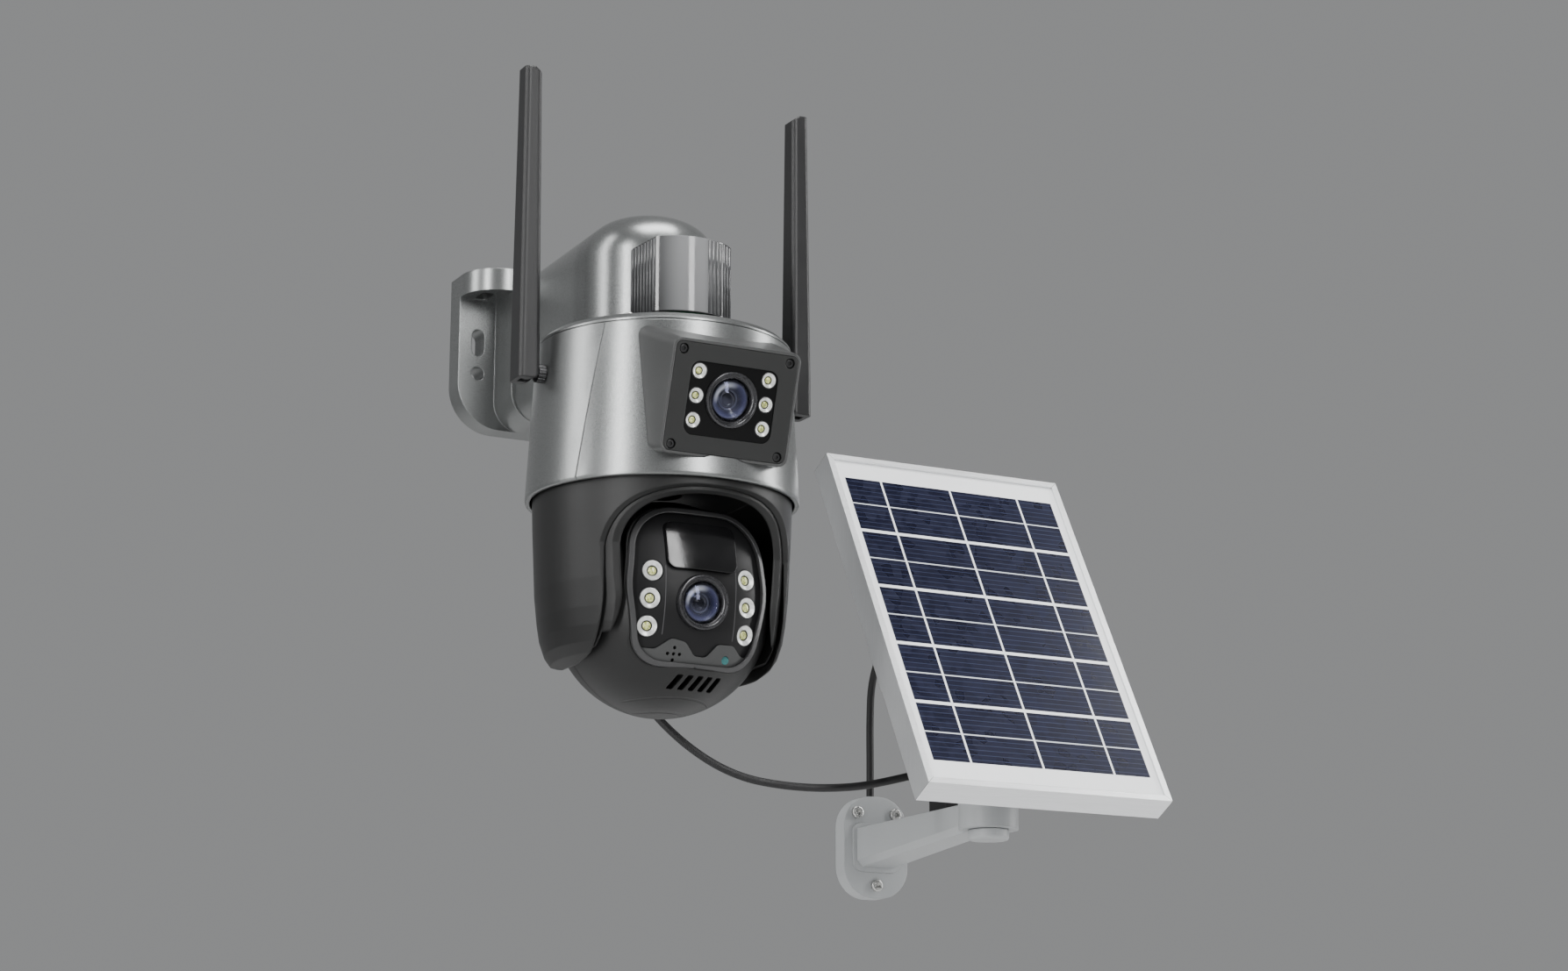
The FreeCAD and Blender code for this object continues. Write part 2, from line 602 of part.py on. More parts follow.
def arch_prism(widen):
    """Side view of the yoke: full depth above, one round-ended ear each side below."""
    r = EAR_R + widen
    low = TILT_Z
    points = [V(-80, BODY_Y - 80, -80), V(-80, BODY_Y - 80, -101.8 - widen * 0.7),
              V(-80, BODY_Y - 58, -101.8 - widen * 0.7), V(-80, BODY_Y - 44.5 - widen * 0.7, -109.6),
              V(-80, BODY_Y - r, -127)]
    far = [V(p.x, 2 * BODY_Y - p.y, p.z) for p in reversed(points)]
    edges = [Part.LineSegment(points[0], points[1]).toShape(),
             Part.LineSegment(points[1], points[2]).toShape(),
             Part.Arc(points[2], points[3], points[4]).toShape(),
             Part.LineSegment(points[4], V(-80, BODY_Y - r, low)).toShape(),
             Part.Arc(V(-80, BODY_Y - r, low), V(-80, BODY_Y, low - r), V(-80, BODY_Y + r, low)).toShape(),
             Part.LineSegment(V(-80, BODY_Y + r, low), far[0]).toShape(),
             Part.Arc(far[0], far[1], far[2]).toShape(),
             Part.LineSegment(far[2], far[3]).toShape(),
             Part.LineSegment(far[3], far[4]).toShape(),
             Part.LineSegment(far[4], points[0]).toShape()]
    return Part.Face(Part.Wire(edges)).extrude(V(160, 0, 0))


between_ears = box(-EAR_GAP - 2.2, EAR_GAP + 2.2, -250, 0, -200, -128)
cover = yoke_envelope(0).common(arch_prism(0))
cover = cover.cut(around_body([(0, -80), (56.6, -80), (56.3, -112), (54.9, -142), (53.6, -154),
                               (52.3, -161.4), (50.2, -167.4), (47.6, -171.2), (0, -173.6)]))
cover = cover.cut(between_ears)
save("yoke_cover", cover)

HUB_TOP_Z = FLOOR_Z + FLOOR_T + 2.2
inner_form = around_body([(0, YOKE_TOP_Z), (56.4, YOKE_TOP_Z), (56.1, -112), (54.7, -142), (53.4, -153.9),
                          (52.1, -161.2), (50.0, -167.2), (47.4, -171.0), (0, -173.4)])
frame = inner_form.common(arch_prism(2.2))
room = around_body([(0, YOKE_TOP_Z - 3), (53.6, YOKE_TOP_Z - 3), (53.3, -112), (52, -142),
                    (49, -190), (0, -190)])
frame = frame.cut(room.common(box(-EAR_GAP, EAR_GAP, -250, 0, -200, YOKE_TOP_Z)))
ear_room = around_body([(0, YOKE_TOP_Z - 12), (53.4, YOKE_TOP_Z - 12), (53.3, -112), (52, -142),
                        (50.9, -152), (49.3, -160), (47, -166), (45.5, -168.5), (0, -168.5)])
left_ear = box(-60, -EAR_GAP - 2, -250, 0, -178, YOKE_TOP_Z - 12)
ear_hollow = ear_room.common(arch_prism(-1.5)).common(group([left_ear, mirrored(left_ear)]))
frame = frame.cut(ear_hollow)
TRUNNION_R = 7.0
frame = frame.cut(rod(TRUNNION_R + 0.06, V(-60, BODY_Y, TILT_Z), V(60, BODY_Y, TILT_Z)).common(
    box(-EAR_GAP - 2.5, EAR_GAP + 2.5, -250, 0, -200, 0)))
hub = tube(HUB_R, 9.0, V(0, BODY_Y, YOKE_TOP_Z - 3), V(0, BODY_Y, HUB_TOP_Z))
frame = frame.fuse(hub).cut(rod(9.0, V(0, BODY_Y, YOKE_TOP_Z - 4), V(0, BODY_Y, HUB_TOP_Z)))
save("yoke_frame", frame.removeSplitter())

retainer_z = FLOOR_Z + FLOOR_T + 0.15
save("hub_retainer", tube(16, HUB_R + 0.03, V(0, BODY_Y, retainer_z), V(0, BODY_Y, retainer_z + 1.8)))
ring_gear = placed(big_gear(PAN_TEETH, 4.8, HUB_R + 0.03), FreeCAD.Placement(
    V(0, BODY_Y, YOKE_TOP_Z), FreeCAD.Rotation(Z_AXIS, 90 + 180.0 / PAN_TEETH)))
save("pan_gear", ring_gear)

TILT_CENTRES = GEAR_MODULE * (TILT_TEETH + PINION_TEETH) / 2
GEAR_X = -EAR_GAP - 2.6
tilt_axis_place = FreeCAD.Rotation(V(0, 0, 1), V(-1, 0, 0))


def on_tilt_axis(shape, spin, up, x):
    """Lays an upright gear on its side, facing -X, then spins and lifts it."""
    turn = FreeCAD.Rotation(X_AXIS, spin).multiply(tilt_axis_place)
    return placed(shape, FreeCAD.Placement(V(x, BODY_Y, TILT_Z + up), turn))


# ---- pan-tilt head: ball ------------------------------------------------------------------------

BALL = face_place(TILT, FACE_DOWN)


def cap_ball(grow, reach):
    """The shallow front surface, grown outwards by a small amount."""
    centre = V(0, 0, CAP_DEPTH - CAP_R)
    return Part.makeSphere(CAP_R + grow, centre).common(Part.makeCylinder(reach, 80, V(0, 0, 0)))


def face_outline(inset, z):
    """The ring on the ball's face: wide round brow, bowed sides and a narrower chin."""
    low = -29.0 + inset
    top = 43.5 - inset
    side = 35.2 - inset
    chin = 29.0 - inset
    brow = 31.5 - inset
    points = [V(-chin, low, z), V(chin, low, z), V(side, 6, z), V(brow, top, z), V(-brow, top, z),
              V(-side, 6, z)]
    return outline(points, [15 - inset * 0.6, 15 - inset * 0.6, 40, 21 - inset * 0.6, 21 - inset * 0.6, 40])


def face_prism(inset):
    return Part.Face(face_outline(inset, 8)).extrude(V(0, 0, 60))


slab_x = box(-BALL_HALF_W, BALL_HALF_W, -90, 90, -90, 90)
whole = Part.makeSphere(BALL_R).common(slab_x)
boss = cap_ball(0, 70).common(face_prism(0)).common(Part.makeSphere(53.2))
solid_ball = whole.fuse(boss).cut(rod(200, V(0, 0, 60), V(0, 0, 120)))
LEDGE_TOP = -3.05          # the face parts sit on a ledge this far under the shallow front
LEDGE_LOW = -5.5
rear_space = box(-BALL_HALF_W + WALL, BALL_HALF_W - WALL, -90, 90, -90, 0)
front_space = cap_ball(LEDGE_LOW, 70).common(box(-BALL_HALF_W + WALL, BALL_HALF_W - WALL, -90, 90, 0, 90))
ball_shell = solid_ball.cut(Part.makeSphere(BALL_R - WALL).common(rear_space.fuse(front_space)))
SPLIT_Z = -2.0
front_half = ball_shell.common(box(-90, 90, -90, 90, SPLIT_Z + SEAM, 90))
rear_half = ball_shell.common(box(-90, 90, -90, 90, -90, SPLIT_Z - SEAM))
front_half = front_half.cut(cap_ball(5, 70).common(face_prism(5.0)))
front_half = front_half.cut(cap_ball(5, 70).cut(cap_ball(LEDGE_TOP, 80)).common(face_prism(0.75)))
vents = []
for i in range(5):
    x = -8.6 + 4.9 * i
    slot = slab([V(x - 1.5, -37.2, 20), V(x + 1.5, -37.2, 20), V(x + 4.1, -30.8, 20), V(x + 1.1,
                                                                                        -30.8, 20)],
                [0.7] * 4, V(0, 0, 40))
    vents.append(slot)
front_half = front_half.cut(group(vents))
front_half = front_half.cut(rod(TRUNNION_R - 1.5, V(-50, 0, 0), V(50, 0, 0)))
rear_half = rear_half.cut(rod(TRUNNION_R - 1.5, V(-50, 0, 0), V(50, 0, 0)))
save("ball_front_shell", placed(max(front_half.Solids, key=lambda s: s.Volume), BALL))
save("ball_rear_shell", placed(max(rear_half.Solids, key=lambda s: s.Volume), BALL))

left_trunnion = tube(TRUNNION_R - 1.6, 3.5, V(-50.6, 0, 0), V(-BALL_HALF_W + 4.5, 0, 0))
left_trunnion = left_trunnion.fuse(tube(TRUNNION_R, 3.5, V(-EAR_GAP - 2.4, 0, 0),
                                        V(-BALL_HALF_W - 0.1, 0, 0)))
right_trunnion = tube(TRUNNION_R - 1.6, 3.5, V(BALL_HALF_W - 4.5, 0, 0), V(48, 0, 0))
right_trunnion = right_trunnion.fuse(tube(TRUNNION_R, 3.5, V(BALL_HALF_W + 0.1, 0, 0),
                                          V(EAR_GAP + 2.4, 0, 0)))
save("tilt_trunnions", placed(group([left_trunnion, right_trunnion]), BALL))
tilt_gear = big_gear(TILT_TEETH, 3.0, TRUNNION_R - 1.57)
save("tilt_gear", on_tilt_axis(tilt_gear, 180.0 / TILT_TEETH, 0, GEAR_X))
tilt_pinion = pinion(3.4).fuse(rod(1.0, V(0, 0, 3.4), V(0, 0, 3.9)))
save("tilt_pinion", on_tilt_axis(tilt_pinion, 0, TILT_CENTRES, GEAR_X + 0.2))
motor_x = GEAR_X - 3.9
save("tilt_motor", rod(7.5, V(motor_x, BODY_Y, TILT_Z + TILT_CENTRES + 2),
                       V(motor_x - 3.2, BODY_Y, TILT_Z + TILT_CENTRES + 2)))

ring = cap_ball(1.6, 70).cut(cap_ball(-3.0, 80)).common(face_prism(0.8).cut(face_prism(2.9)))
save("face_bezel", placed(ring.common(Part.makeSphere(54.6)), BALL))
PIR_HALF = V(17.0, 10.5, 0)
PIR_UP = 25.8
PTZ_LENS_UP = 1.1
ptz_cups = []
for side in (-1, 1):
    for step, out in ((-1, 23.4), (0, 23.2), (1, 22.4)):
        ptz_cups.append(V(side * out, PTZ_LENS_UP + step * 12.0, 0))


def cap_height(x, y):
    """How far out of the ball the shallow front surface lies at a place on the face."""
    return CAP_DEPTH - CAP_R + math.sqrt(CAP_R ** 2 - x * x - y * y)


PTZ_CUP_R = 4.85
cup_local = []
for p in ptz_cups:
    lean = FreeCAD.Rotation(Z_AXIS, V(p.x, p.y, math.sqrt(CAP_R ** 2 - p.x ** 2 - p.y ** 2)))
    part_lean = FreeCAD.Rotation().slerp(lean, 0.75)
    cup_local.append(FreeCAD.Placement(V(p.x, p.y, cap_height(p.x, p.y) - 3.0), part_lean))

window = cap_ball(-0.6, 70).cut(cap_ball(-2.8, 80)).common(face_prism(3.0))
pir_hole = rounded_box(PIR_HALF.x, PIR_HALF.y, 4, FreeCAD.Placement(V(0, PIR_UP, 0),
                                                                    FreeCAD.Rotation()), 10, 60)
wave_points = [V(-34, -20.5, 20), V(-19.5, -20.8, 20), V(-13, -15.6, 20), V(-6.5, -16.8, 20), V(-1.5,
                                                                                                -22.6, 20),
               V(4.5, -22.8, 20), V(9.5, -16.6, 20), V(17.5, -16.4, 20), V(23, -21, 20), V(34, -20.5, 20),
               V(34, -40, 20), V(-34, -40, 20)]
plate_prism = slab(wave_points, [0, 4, 3.5, 3.5, 3.5, 3.5, 3.5, 3.5, 4, 0, 0, 0], V(0, 0, 40))
window = window.cut(pir_hole).cut(plate_prism.translated(V(0, 0.12, 0)))
window = window.cut(Part.makeCylinder(12.3, 60, V(0, PTZ_LENS_UP, 0)))
window = window.cut(group([placed(Part.makeCylinder(PTZ_CUP_R + 0.1, 9, V(0, 0, -3)),
                                  p) for p in cup_local]))
save("face_window", placed(max(window.Solids, key=lambda s: s.Volume), BALL))
pir = rounded_box(PIR_HALF.x - 0.1, PIR_HALF.y - 0.1, 3.9,
                  FreeCAD.Placement(V(0, PIR_UP, 0), FreeCAD.Rotation()), 10, 60)
pir = pir.common(cap_ball(1.6, 70)).cut(cap_ball(-2.8, 80)).common(face_prism(3.0))
save("pir_window", placed(pir, BALL))
plate = cap_ball(0.3, 70).cut(cap_ball(-2.8, 80)).common(face_prism(3.0)).common(plate_prism)
MIC_AT = V(-11.0, -22.3, 0)
LIGHT_AT = V(14.6, -23.0, 0)
mic_holes = [MIC_AT + V(x, y, 20) for x, y in ((0, 0), (2.7, 0), (-2.7, 0), (0, 2.7), (0, -2.7))]
plate = plate.cut(group([Part.makeCylinder(0.75, 60, p) for p in mic_holes]))
plate = plate.cut(Part.makeCylinder(1.9, 60, LIGHT_AT))
save("sensor_plate", placed(max(plate.Solids, key=lambda s: s.Volume), BALL))
light_z = cap_height(LIGHT_AT.x, LIGHT_AT.y)
save("light_sensor", placed(Part.makeCylinder(1.85, 3.5, V(LIGHT_AT.x, LIGHT_AT.y, light_z - 3.4)), BALL))

save("ptz_led_cups", led_cups([BALL.multiply(p) for p in cup_local], PTZ_CUP_R, 2.4))
ptz_lens = BALL.multiply(FreeCAD.Placement(V(0, PTZ_LENS_UP, 0), FreeCAD.Rotation()))
save("ptz_lens_barrel", lens_barrel(12.2, ptz_lens, CAP_DEPTH + 0.9, CAP_DEPTH - 16))
save("ptz_lens_glass", lens_glass(12.2, ptz_lens, CAP_DEPTH - 0.5))
board = rounded_box(24, 15, 2, FreeCAD.Placement(V(0, PTZ_LENS_UP, 0), FreeCAD.Rotation()), 27.2, 28.8)
save("ptz_camera_board", placed(board.cut(Part.makeCylinder(12.4, 40, V(0, PTZ_LENS_UP, 10))), BALL))
speaker_place = BALL.multiply(FreeCAD.Placement(V(0, -24, 18), FreeCAD.Rotation(X_AXIS, 45)))
save("speaker", placed(Part.makeCylinder(11, 6), speaker_place))


# ---- solar panel --------------------------------------------------------------------------------

def panel_arm():
    """Wall plate, tapering beam and the ring that carries the panel's upright pivot."""
    half_w = 18.3
    top = -203.5
    low = -255.0
    plate = slab([V(PANEL_X - half_w, 0, top), V(PANEL_X + half_w, 0, top),
                  V(PANEL_X + half_w, 0, low), V(PANEL_X - half_w, 0, low)], [16, 16, 16, 16], V(0, -9, 0))
    pad = slab([V(PANEL_X - 13.5, -9, -217.5), V(PANEL_X + 13.5, -9, -217.5),
                V(PANEL_X + 13.5, -9, -242), V(PANEL_X - 13.5, -9, -242)], [4, 4, 5, 5], V(0, -1.2, 0))
    side_view = [V(PANEL_X - 20, -5, BEAM_TOP_Z), V(PANEL_X - 20, PIVOT_Y, BEAM_TOP_Z),
                 V(PANEL_X - 20, PIVOT_Y, -232.6), V(PANEL_X - 20, -5, -240)]
    top_view = [V(PANEL_X - 11.6, -5, -245), V(PANEL_X + 11.6, -5, -245),
                V(PANEL_X + 9.5, PIVOT_Y, -245), V(PANEL_X - 9.5, PIVOT_Y, -245)]
    beam = slab(side_view, [0] * 4, V(40, 0, 0)).common(slab(top_view, [0] * 4, V(0, 0, 40)))
    beam = beam.makeChamfer(3.0,
                            [e for e in beam.Edges if e.BoundBox.ZMax < -232 and e.BoundBox.YLength > 50])
    ring = rod(RING_R, V(PANEL_X, PIVOT_Y, RING_LOW_Z), V(PANEL_X, PIVOT_Y, RING_TOP_Z))
    shape = plate.fuse([pad, beam, ring])
    cuts = [rod(8.05, V(PANEL_X, PIVOT_Y, RING_LOW_Z - 2), V(PANEL_X, PIVOT_Y, RING_TOP_Z))]
    for x, z in PANEL_SCREWS:
        cuts.append(rod(2.2, V(x, 0, z), V(x, -9, z)))
    cuts.append(rod(2.6, V(PANEL_X - 1, -5.0, top - 9), V(PANEL_X - 1, -5.0, top + 1)))
    return shape.cut(group(cuts)).removeSplitter()


BEAM_TOP_Z = -220.3
PANEL_SCREWS = [(PANEL_X - 10.8, -212.2), (PANEL_X + 11.2, -212.2), (PANEL_X, -248.6)]
save("panel_arm", panel_arm())
save("panel_wall_screws", group([screw(facing(V(x, -9, z), V(0, -1, 0)), 3.1, 1.8, 2.0, 9, 1.5)
                                 for x, z in PANEL_SCREWS]))

SWIVEL_Z = RING_TOP_Z + 0.3
EAR_TOP_R = 6.4


def panel_swivel():
    """Base plate, hollow pivot stem and the two upright ears of the panel's holder."""
    base = slab([V(PANEL_X - 16.5, PIVOT_Y - 14, SWIVEL_Z), V(PANEL_X + 19, PIVOT_Y - 14, SWIVEL_Z),
                 V(PANEL_X + 19, PIVOT_Y + 14, SWIVEL_Z), V(PANEL_X - 16.5, PIVOT_Y + 14, SWIVEL_Z)],
                [4] * 4, V(0, 0, 2.4))
    base = base.cut(box(PANEL_X - 7, PANEL_X + 6, PIVOT_Y - 15, PIVOT_Y - 9, SWIVEL_Z, SWIVEL_Z + 3))
    stem = tube(7.98, 5.0, V(PANEL_X, PIVOT_Y, RING_LOW_Z - 0.3), V(PANEL_X, PIVOT_Y, SWIVEL_Z + 0.5))
    foot = SWIVEL_Z + 2.4
    ears = []
    for x in (PANEL_X - 14.0, PANEL_X + 11.6):
        ear = slab([V(x, PIVOT_Y - EAR_TOP_R, foot), V(x, PIVOT_Y + 11, foot),
                    V(x, PIVOT_Y + EAR_TOP_R, BOLT_Z + EAR_TOP_R),
                    V(x, PIVOT_Y - EAR_TOP_R, BOLT_Z + EAR_TOP_R)], [0, 0, 6.0, 6.0], V(2.4, 0, 0))
        ears.append(ear)
    spine = box(PANEL_X - 11.6, PANEL_X + 11.6, PIVOT_Y + 6, PIVOT_Y + 8.4, foot, BOLT_Z - 16)
    clip = slab([V(PANEL_X - 11, PIVOT_Y + 8, -206), V(PANEL_X + 11, PIVOT_Y + 8, -206),
                 V(PANEL_X + 11, PIVOT_Y + 8, -188), V(PANEL_X - 11, PIVOT_Y + 8, -188)], [3] * 4,
                 V(0, 11, 0))
    shape = base.fuse([stem] + ears + [spine, clip])
    for x in (PANEL_X - 6, PANEL_X + 6):
        shape = shape.cut(rod(CORD_R + 0.05, V(x, PIVOT_Y + 14, -200), V(x, PIVOT_Y + 14, -187)))
    shape = shape.cut(rod(5.0, V(PANEL_X, PIVOT_Y, RING_LOW_Z), V(PANEL_X, PIVOT_Y, foot)))
    return shape.cut(rod(3.06, V(PANEL_X - 30, PIVOT_Y, BOLT_Z), V(PANEL_X + 30, PIVOT_Y, BOLT_Z)))


save("panel_swivel", panel_swivel())
cap = rod(9.8, V(PANEL_X, PIVOT_Y, -238), V(PANEL_X, PIVOT_Y, RING_LOW_Z - 0.3))
cap = rounded_edges(cap, 1.5, lambda e: e.BoundBox.ZMax < -237.9)
save("pivot_cap", cap)

PANEL = FreeCAD.Placement(PANEL_CENTRE, FreeCAD.Rotation(X_AXIS, 90 - PANEL_LEAN))
half_w = PANEL_W / 2
half_l = PANEL_L / 2


def bar_ring(outer_w, outer_l, inner_w, inner_l, z0, z1):
    return box(-outer_w, outer_w, -outer_l, outer_l, z0, z1).cut(
        box(-inner_w, inner_w, -inner_l, inner_l, z0, z1))


frame = bar_ring(half_w, half_l, half_w - 1.6, half_l - 1.6, -PANEL_T, 0)
frame = frame.fuse(bar_ring(half_w, half_l, half_w - 3.2, half_l - 3.2, -1.0, 0))
frame = frame.fuse(bar_ring(half_w, half_l, half_w - 3.2, half_l - 3.2, -5.6, -4.4))
frame = frame.fuse(bar_ring(half_w, half_l, half_w - 9, half_l - 9, -PANEL_T, -PANEL_T + 1.4))
save("panel_frame", placed(frame.removeSplitter(), PANEL))
save("solar_laminate", placed(box(-half_w + 1.8, half_w - 1.8, -half_l + 1.8, half_l - 1.8, -4.3,
                                  -1.1), PANEL))

BOLT_LOCAL = PANEL.inverse().multVec(V(PANEL_X, PIVOT_Y, BOLT_Z))
LUG_HALF_GAP = 11.3


def panel_bracket():
    """Cross bar over the back of the frame, with two lugs round the tilt bolt."""
    back = -PANEL_T
    bar = slab([V(-half_w + 1, BOLT_LOCAL.y - 16, back), V(half_w - 1, BOLT_LOCAL.y - 16, back),
                V(half_w - 1, BOLT_LOCAL.y + 16, back), V(-half_w + 1, BOLT_LOCAL.y + 16, back)],
               [4] * 4, V(0, 0, -2.0))
    shape = bar
    for x in (-LUG_HALF_GAP, LUG_HALF_GAP - 2.2):
        lug = slab([V(x, BOLT_LOCAL.y - 10, back - 2), V(x, BOLT_LOCAL.y + 10, back - 2),
                    V(x, BOLT_LOCAL.y + 7, BOLT_LOCAL.z - 6), V(x, BOLT_LOCAL.y - 7, BOLT_LOCAL.z - 6)],
                   [0, 0, 5.5, 5.5], V(2.2, 0, 0))
        shape = shape.fuse(lug)
    return shape.cut(rod(3.05, V(-30, BOLT_LOCAL.y, BOLT_LOCAL.z), V(30, BOLT_LOCAL.y, BOLT_LOCAL.z)))


save("panel_bracket", placed(panel_bracket(), PANEL))
bolt = rod(3.0, V(PANEL_X - 16.5, PIVOT_Y, BOLT_Z), V(PANEL_X + 18, PIVOT_Y, BOLT_Z))
bolt = bolt.fuse(rod(5.5, V(PANEL_X - 18.3, PIVOT_Y, BOLT_Z), V(PANEL_X - 14.3, PIVOT_Y, BOLT_Z)))
knob = rod(6.7, V(PANEL_X + 14.3, PIVOT_Y, BOLT_Z), V(PANEL_X + 20.5, PIVOT_Y, BOLT_Z))
save("tilt_bolt", bolt.fuse(knob))

BOX_LOCAL = V(0, BOLT_LOCAL.y + 34, 0)
BOX_PLACE = PANEL.multiply(FreeCAD.Placement(BOX_LOCAL, FreeCAD.Rotation()))
save("junction_box", rounded_box(15, 12, 3, BOX_PLACE, -PANEL_T - 1.0, -4.4))


# ---- the lead -----------------------------------------------------------------------------------

GLAND_BORE = CORD_R + 0.25
save("camera_gland", tube(6.0, GLAND_BORE, GLAND - V(0, 0, 6), GLAND).fuse(
    tube(3.5, GLAND_BORE, GLAND, GLAND + V(0, 0, 4))))
OUTLET = V(168, -84, -201.4)
terminal = slab([V(OUTLET.x + 6, -92, -220.3), V(OUTLET.x + 22, -92, -220.3),
                 V(OUTLET.x + 22, -92, -196), V(OUTLET.x + 6, -92, -196)], [0, 0, 3, 3], V(0, 16, 0))
terminal = terminal.fuse(Part.makeCone(3.2, 4.4, 6.5, OUTLET, X_AXIS))
save("arm_terminal_box", terminal.cut(rod(CORD_R + 0.5, OUTLET, OUTLET + V(9, 0, 0))))

cord("camera_lead", [
    GLAND + V(0, 0, 1), V(4.5, -47.8, -70), V(8, -46.5, -104), V(14, -48.2, -138), V(24.5, -53.2, -168),
    V(44, -62.5, -192.5), V(69, -71, -209), V(97, -78.5, -213.5), V(125, -83, -212.5), V(148, -84.3,
                                                                                         -207.5),
    OUTLET + V(1, 0, 0)])
CLIP_Y = PIVOT_Y + 14
cord("panel_lead", [
    V(180.7, -5.5, -208), V(180.7, -6, -187), V(180.3, -6.5, -166), V(180, -9, -143), V(178, -27, -127),
    V(177, -48, -119), V(176.6, -70, -126), V(176.3, -86, -142), V(176.1, -95.5, -159.5),
    V(176, CLIP_Y, -176), V(176, CLIP_Y, -195)])
tail_start = PANEL.multVec(V(6, BOX_LOCAL.y, -PANEL_T - 1.2))
cord("panel_tail", [
    tail_start, V(188.3, -95.5, -137.5), V(188.4, -88.5, -149.5), V(188.2, -92.5, -163.5), V(188,
                                                                                             CLIP_Y, -176),
    V(188, CLIP_Y, -194)])
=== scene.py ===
import math

import bmesh
import bpy
from mathutils import Matrix, Quaternion, Vector


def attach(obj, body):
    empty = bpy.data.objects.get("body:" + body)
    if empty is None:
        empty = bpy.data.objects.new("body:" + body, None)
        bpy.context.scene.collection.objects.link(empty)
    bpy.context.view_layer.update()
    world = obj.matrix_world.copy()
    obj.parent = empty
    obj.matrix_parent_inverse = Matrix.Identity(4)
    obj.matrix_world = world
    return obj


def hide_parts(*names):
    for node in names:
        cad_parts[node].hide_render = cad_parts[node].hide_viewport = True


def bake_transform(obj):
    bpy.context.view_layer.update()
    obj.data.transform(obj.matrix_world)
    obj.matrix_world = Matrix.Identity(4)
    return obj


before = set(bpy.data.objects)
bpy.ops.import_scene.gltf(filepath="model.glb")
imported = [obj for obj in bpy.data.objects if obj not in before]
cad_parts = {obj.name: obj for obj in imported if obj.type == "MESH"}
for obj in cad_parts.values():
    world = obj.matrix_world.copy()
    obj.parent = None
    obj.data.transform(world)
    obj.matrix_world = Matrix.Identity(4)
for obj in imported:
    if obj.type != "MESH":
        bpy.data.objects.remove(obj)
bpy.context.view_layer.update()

scene = bpy.context.scene

# Large soft lights stand at both sides and above, over a plain pale floor.
lens = bpy.data.cameras.new("camera")
lens.lens = 70.766
lens.sensor_width = 36.0
lens.clip_end = 30.0
camera = bpy.data.objects.new("camera", lens)
scene.collection.objects.link(camera)
camera.location = (-0.58836, -1.36453, -0.42479)
turn, rise = math.radians(-27.9), math.radians(-13.85)
outward = Vector((math.sin(turn) * math.cos(rise), -math.cos(turn) * math.cos(rise), math.sin(rise)))
camera.rotation_mode = "QUATERNION"
camera.rotation_quaternion = (-outward).to_track_quat("-Z", "Y")
scene.camera = camera

world = bpy.data.worlds.new("studio")
world.use_nodes = True
world.node_tree.nodes["Background"].inputs["Color"].default_value = (0.78, 0.79, 0.80, 1)
world.node_tree.nodes["Background"].inputs["Strength"].default_value = 0.34
scene.world = world

for name, place, aim, size, watts in (
        ("key", (0.16, -1.70, 0.62), (0.0, -0.13, -0.08), (0.30, 1.3), 24),
        ("left_strip", (-1.15, -0.75, 0.10), (0.0, -0.13, -0.05), (0.14, 1.4), 17),
        ("left_rim", (-1.05, 0.10, 0.45), (0.0, -0.10, -0.05), (0.30, 1.2), 9),
        ("right_strip", (1.20, -0.45, 0.30), (0.05, -0.13, -0.10), (0.22, 1.3), 14),
        ("overhead", (0.05, -0.45, 1.30), (0.05, -0.12, 0.0), (0.9, 0.55), 22)):
    light = bpy.data.lights.new(name, "AREA")
    light.shape = "RECTANGLE"
    light.size, light.size_y = size
    light.energy = watts
    lamp = bpy.data.objects.new(name, light)
    scene.collection.objects.link(lamp)
    lamp.location = place
    lamp.rotation_euler = (Vector(aim) - Vector(place)).to_track_quat("-Z", "Y").to_euler()


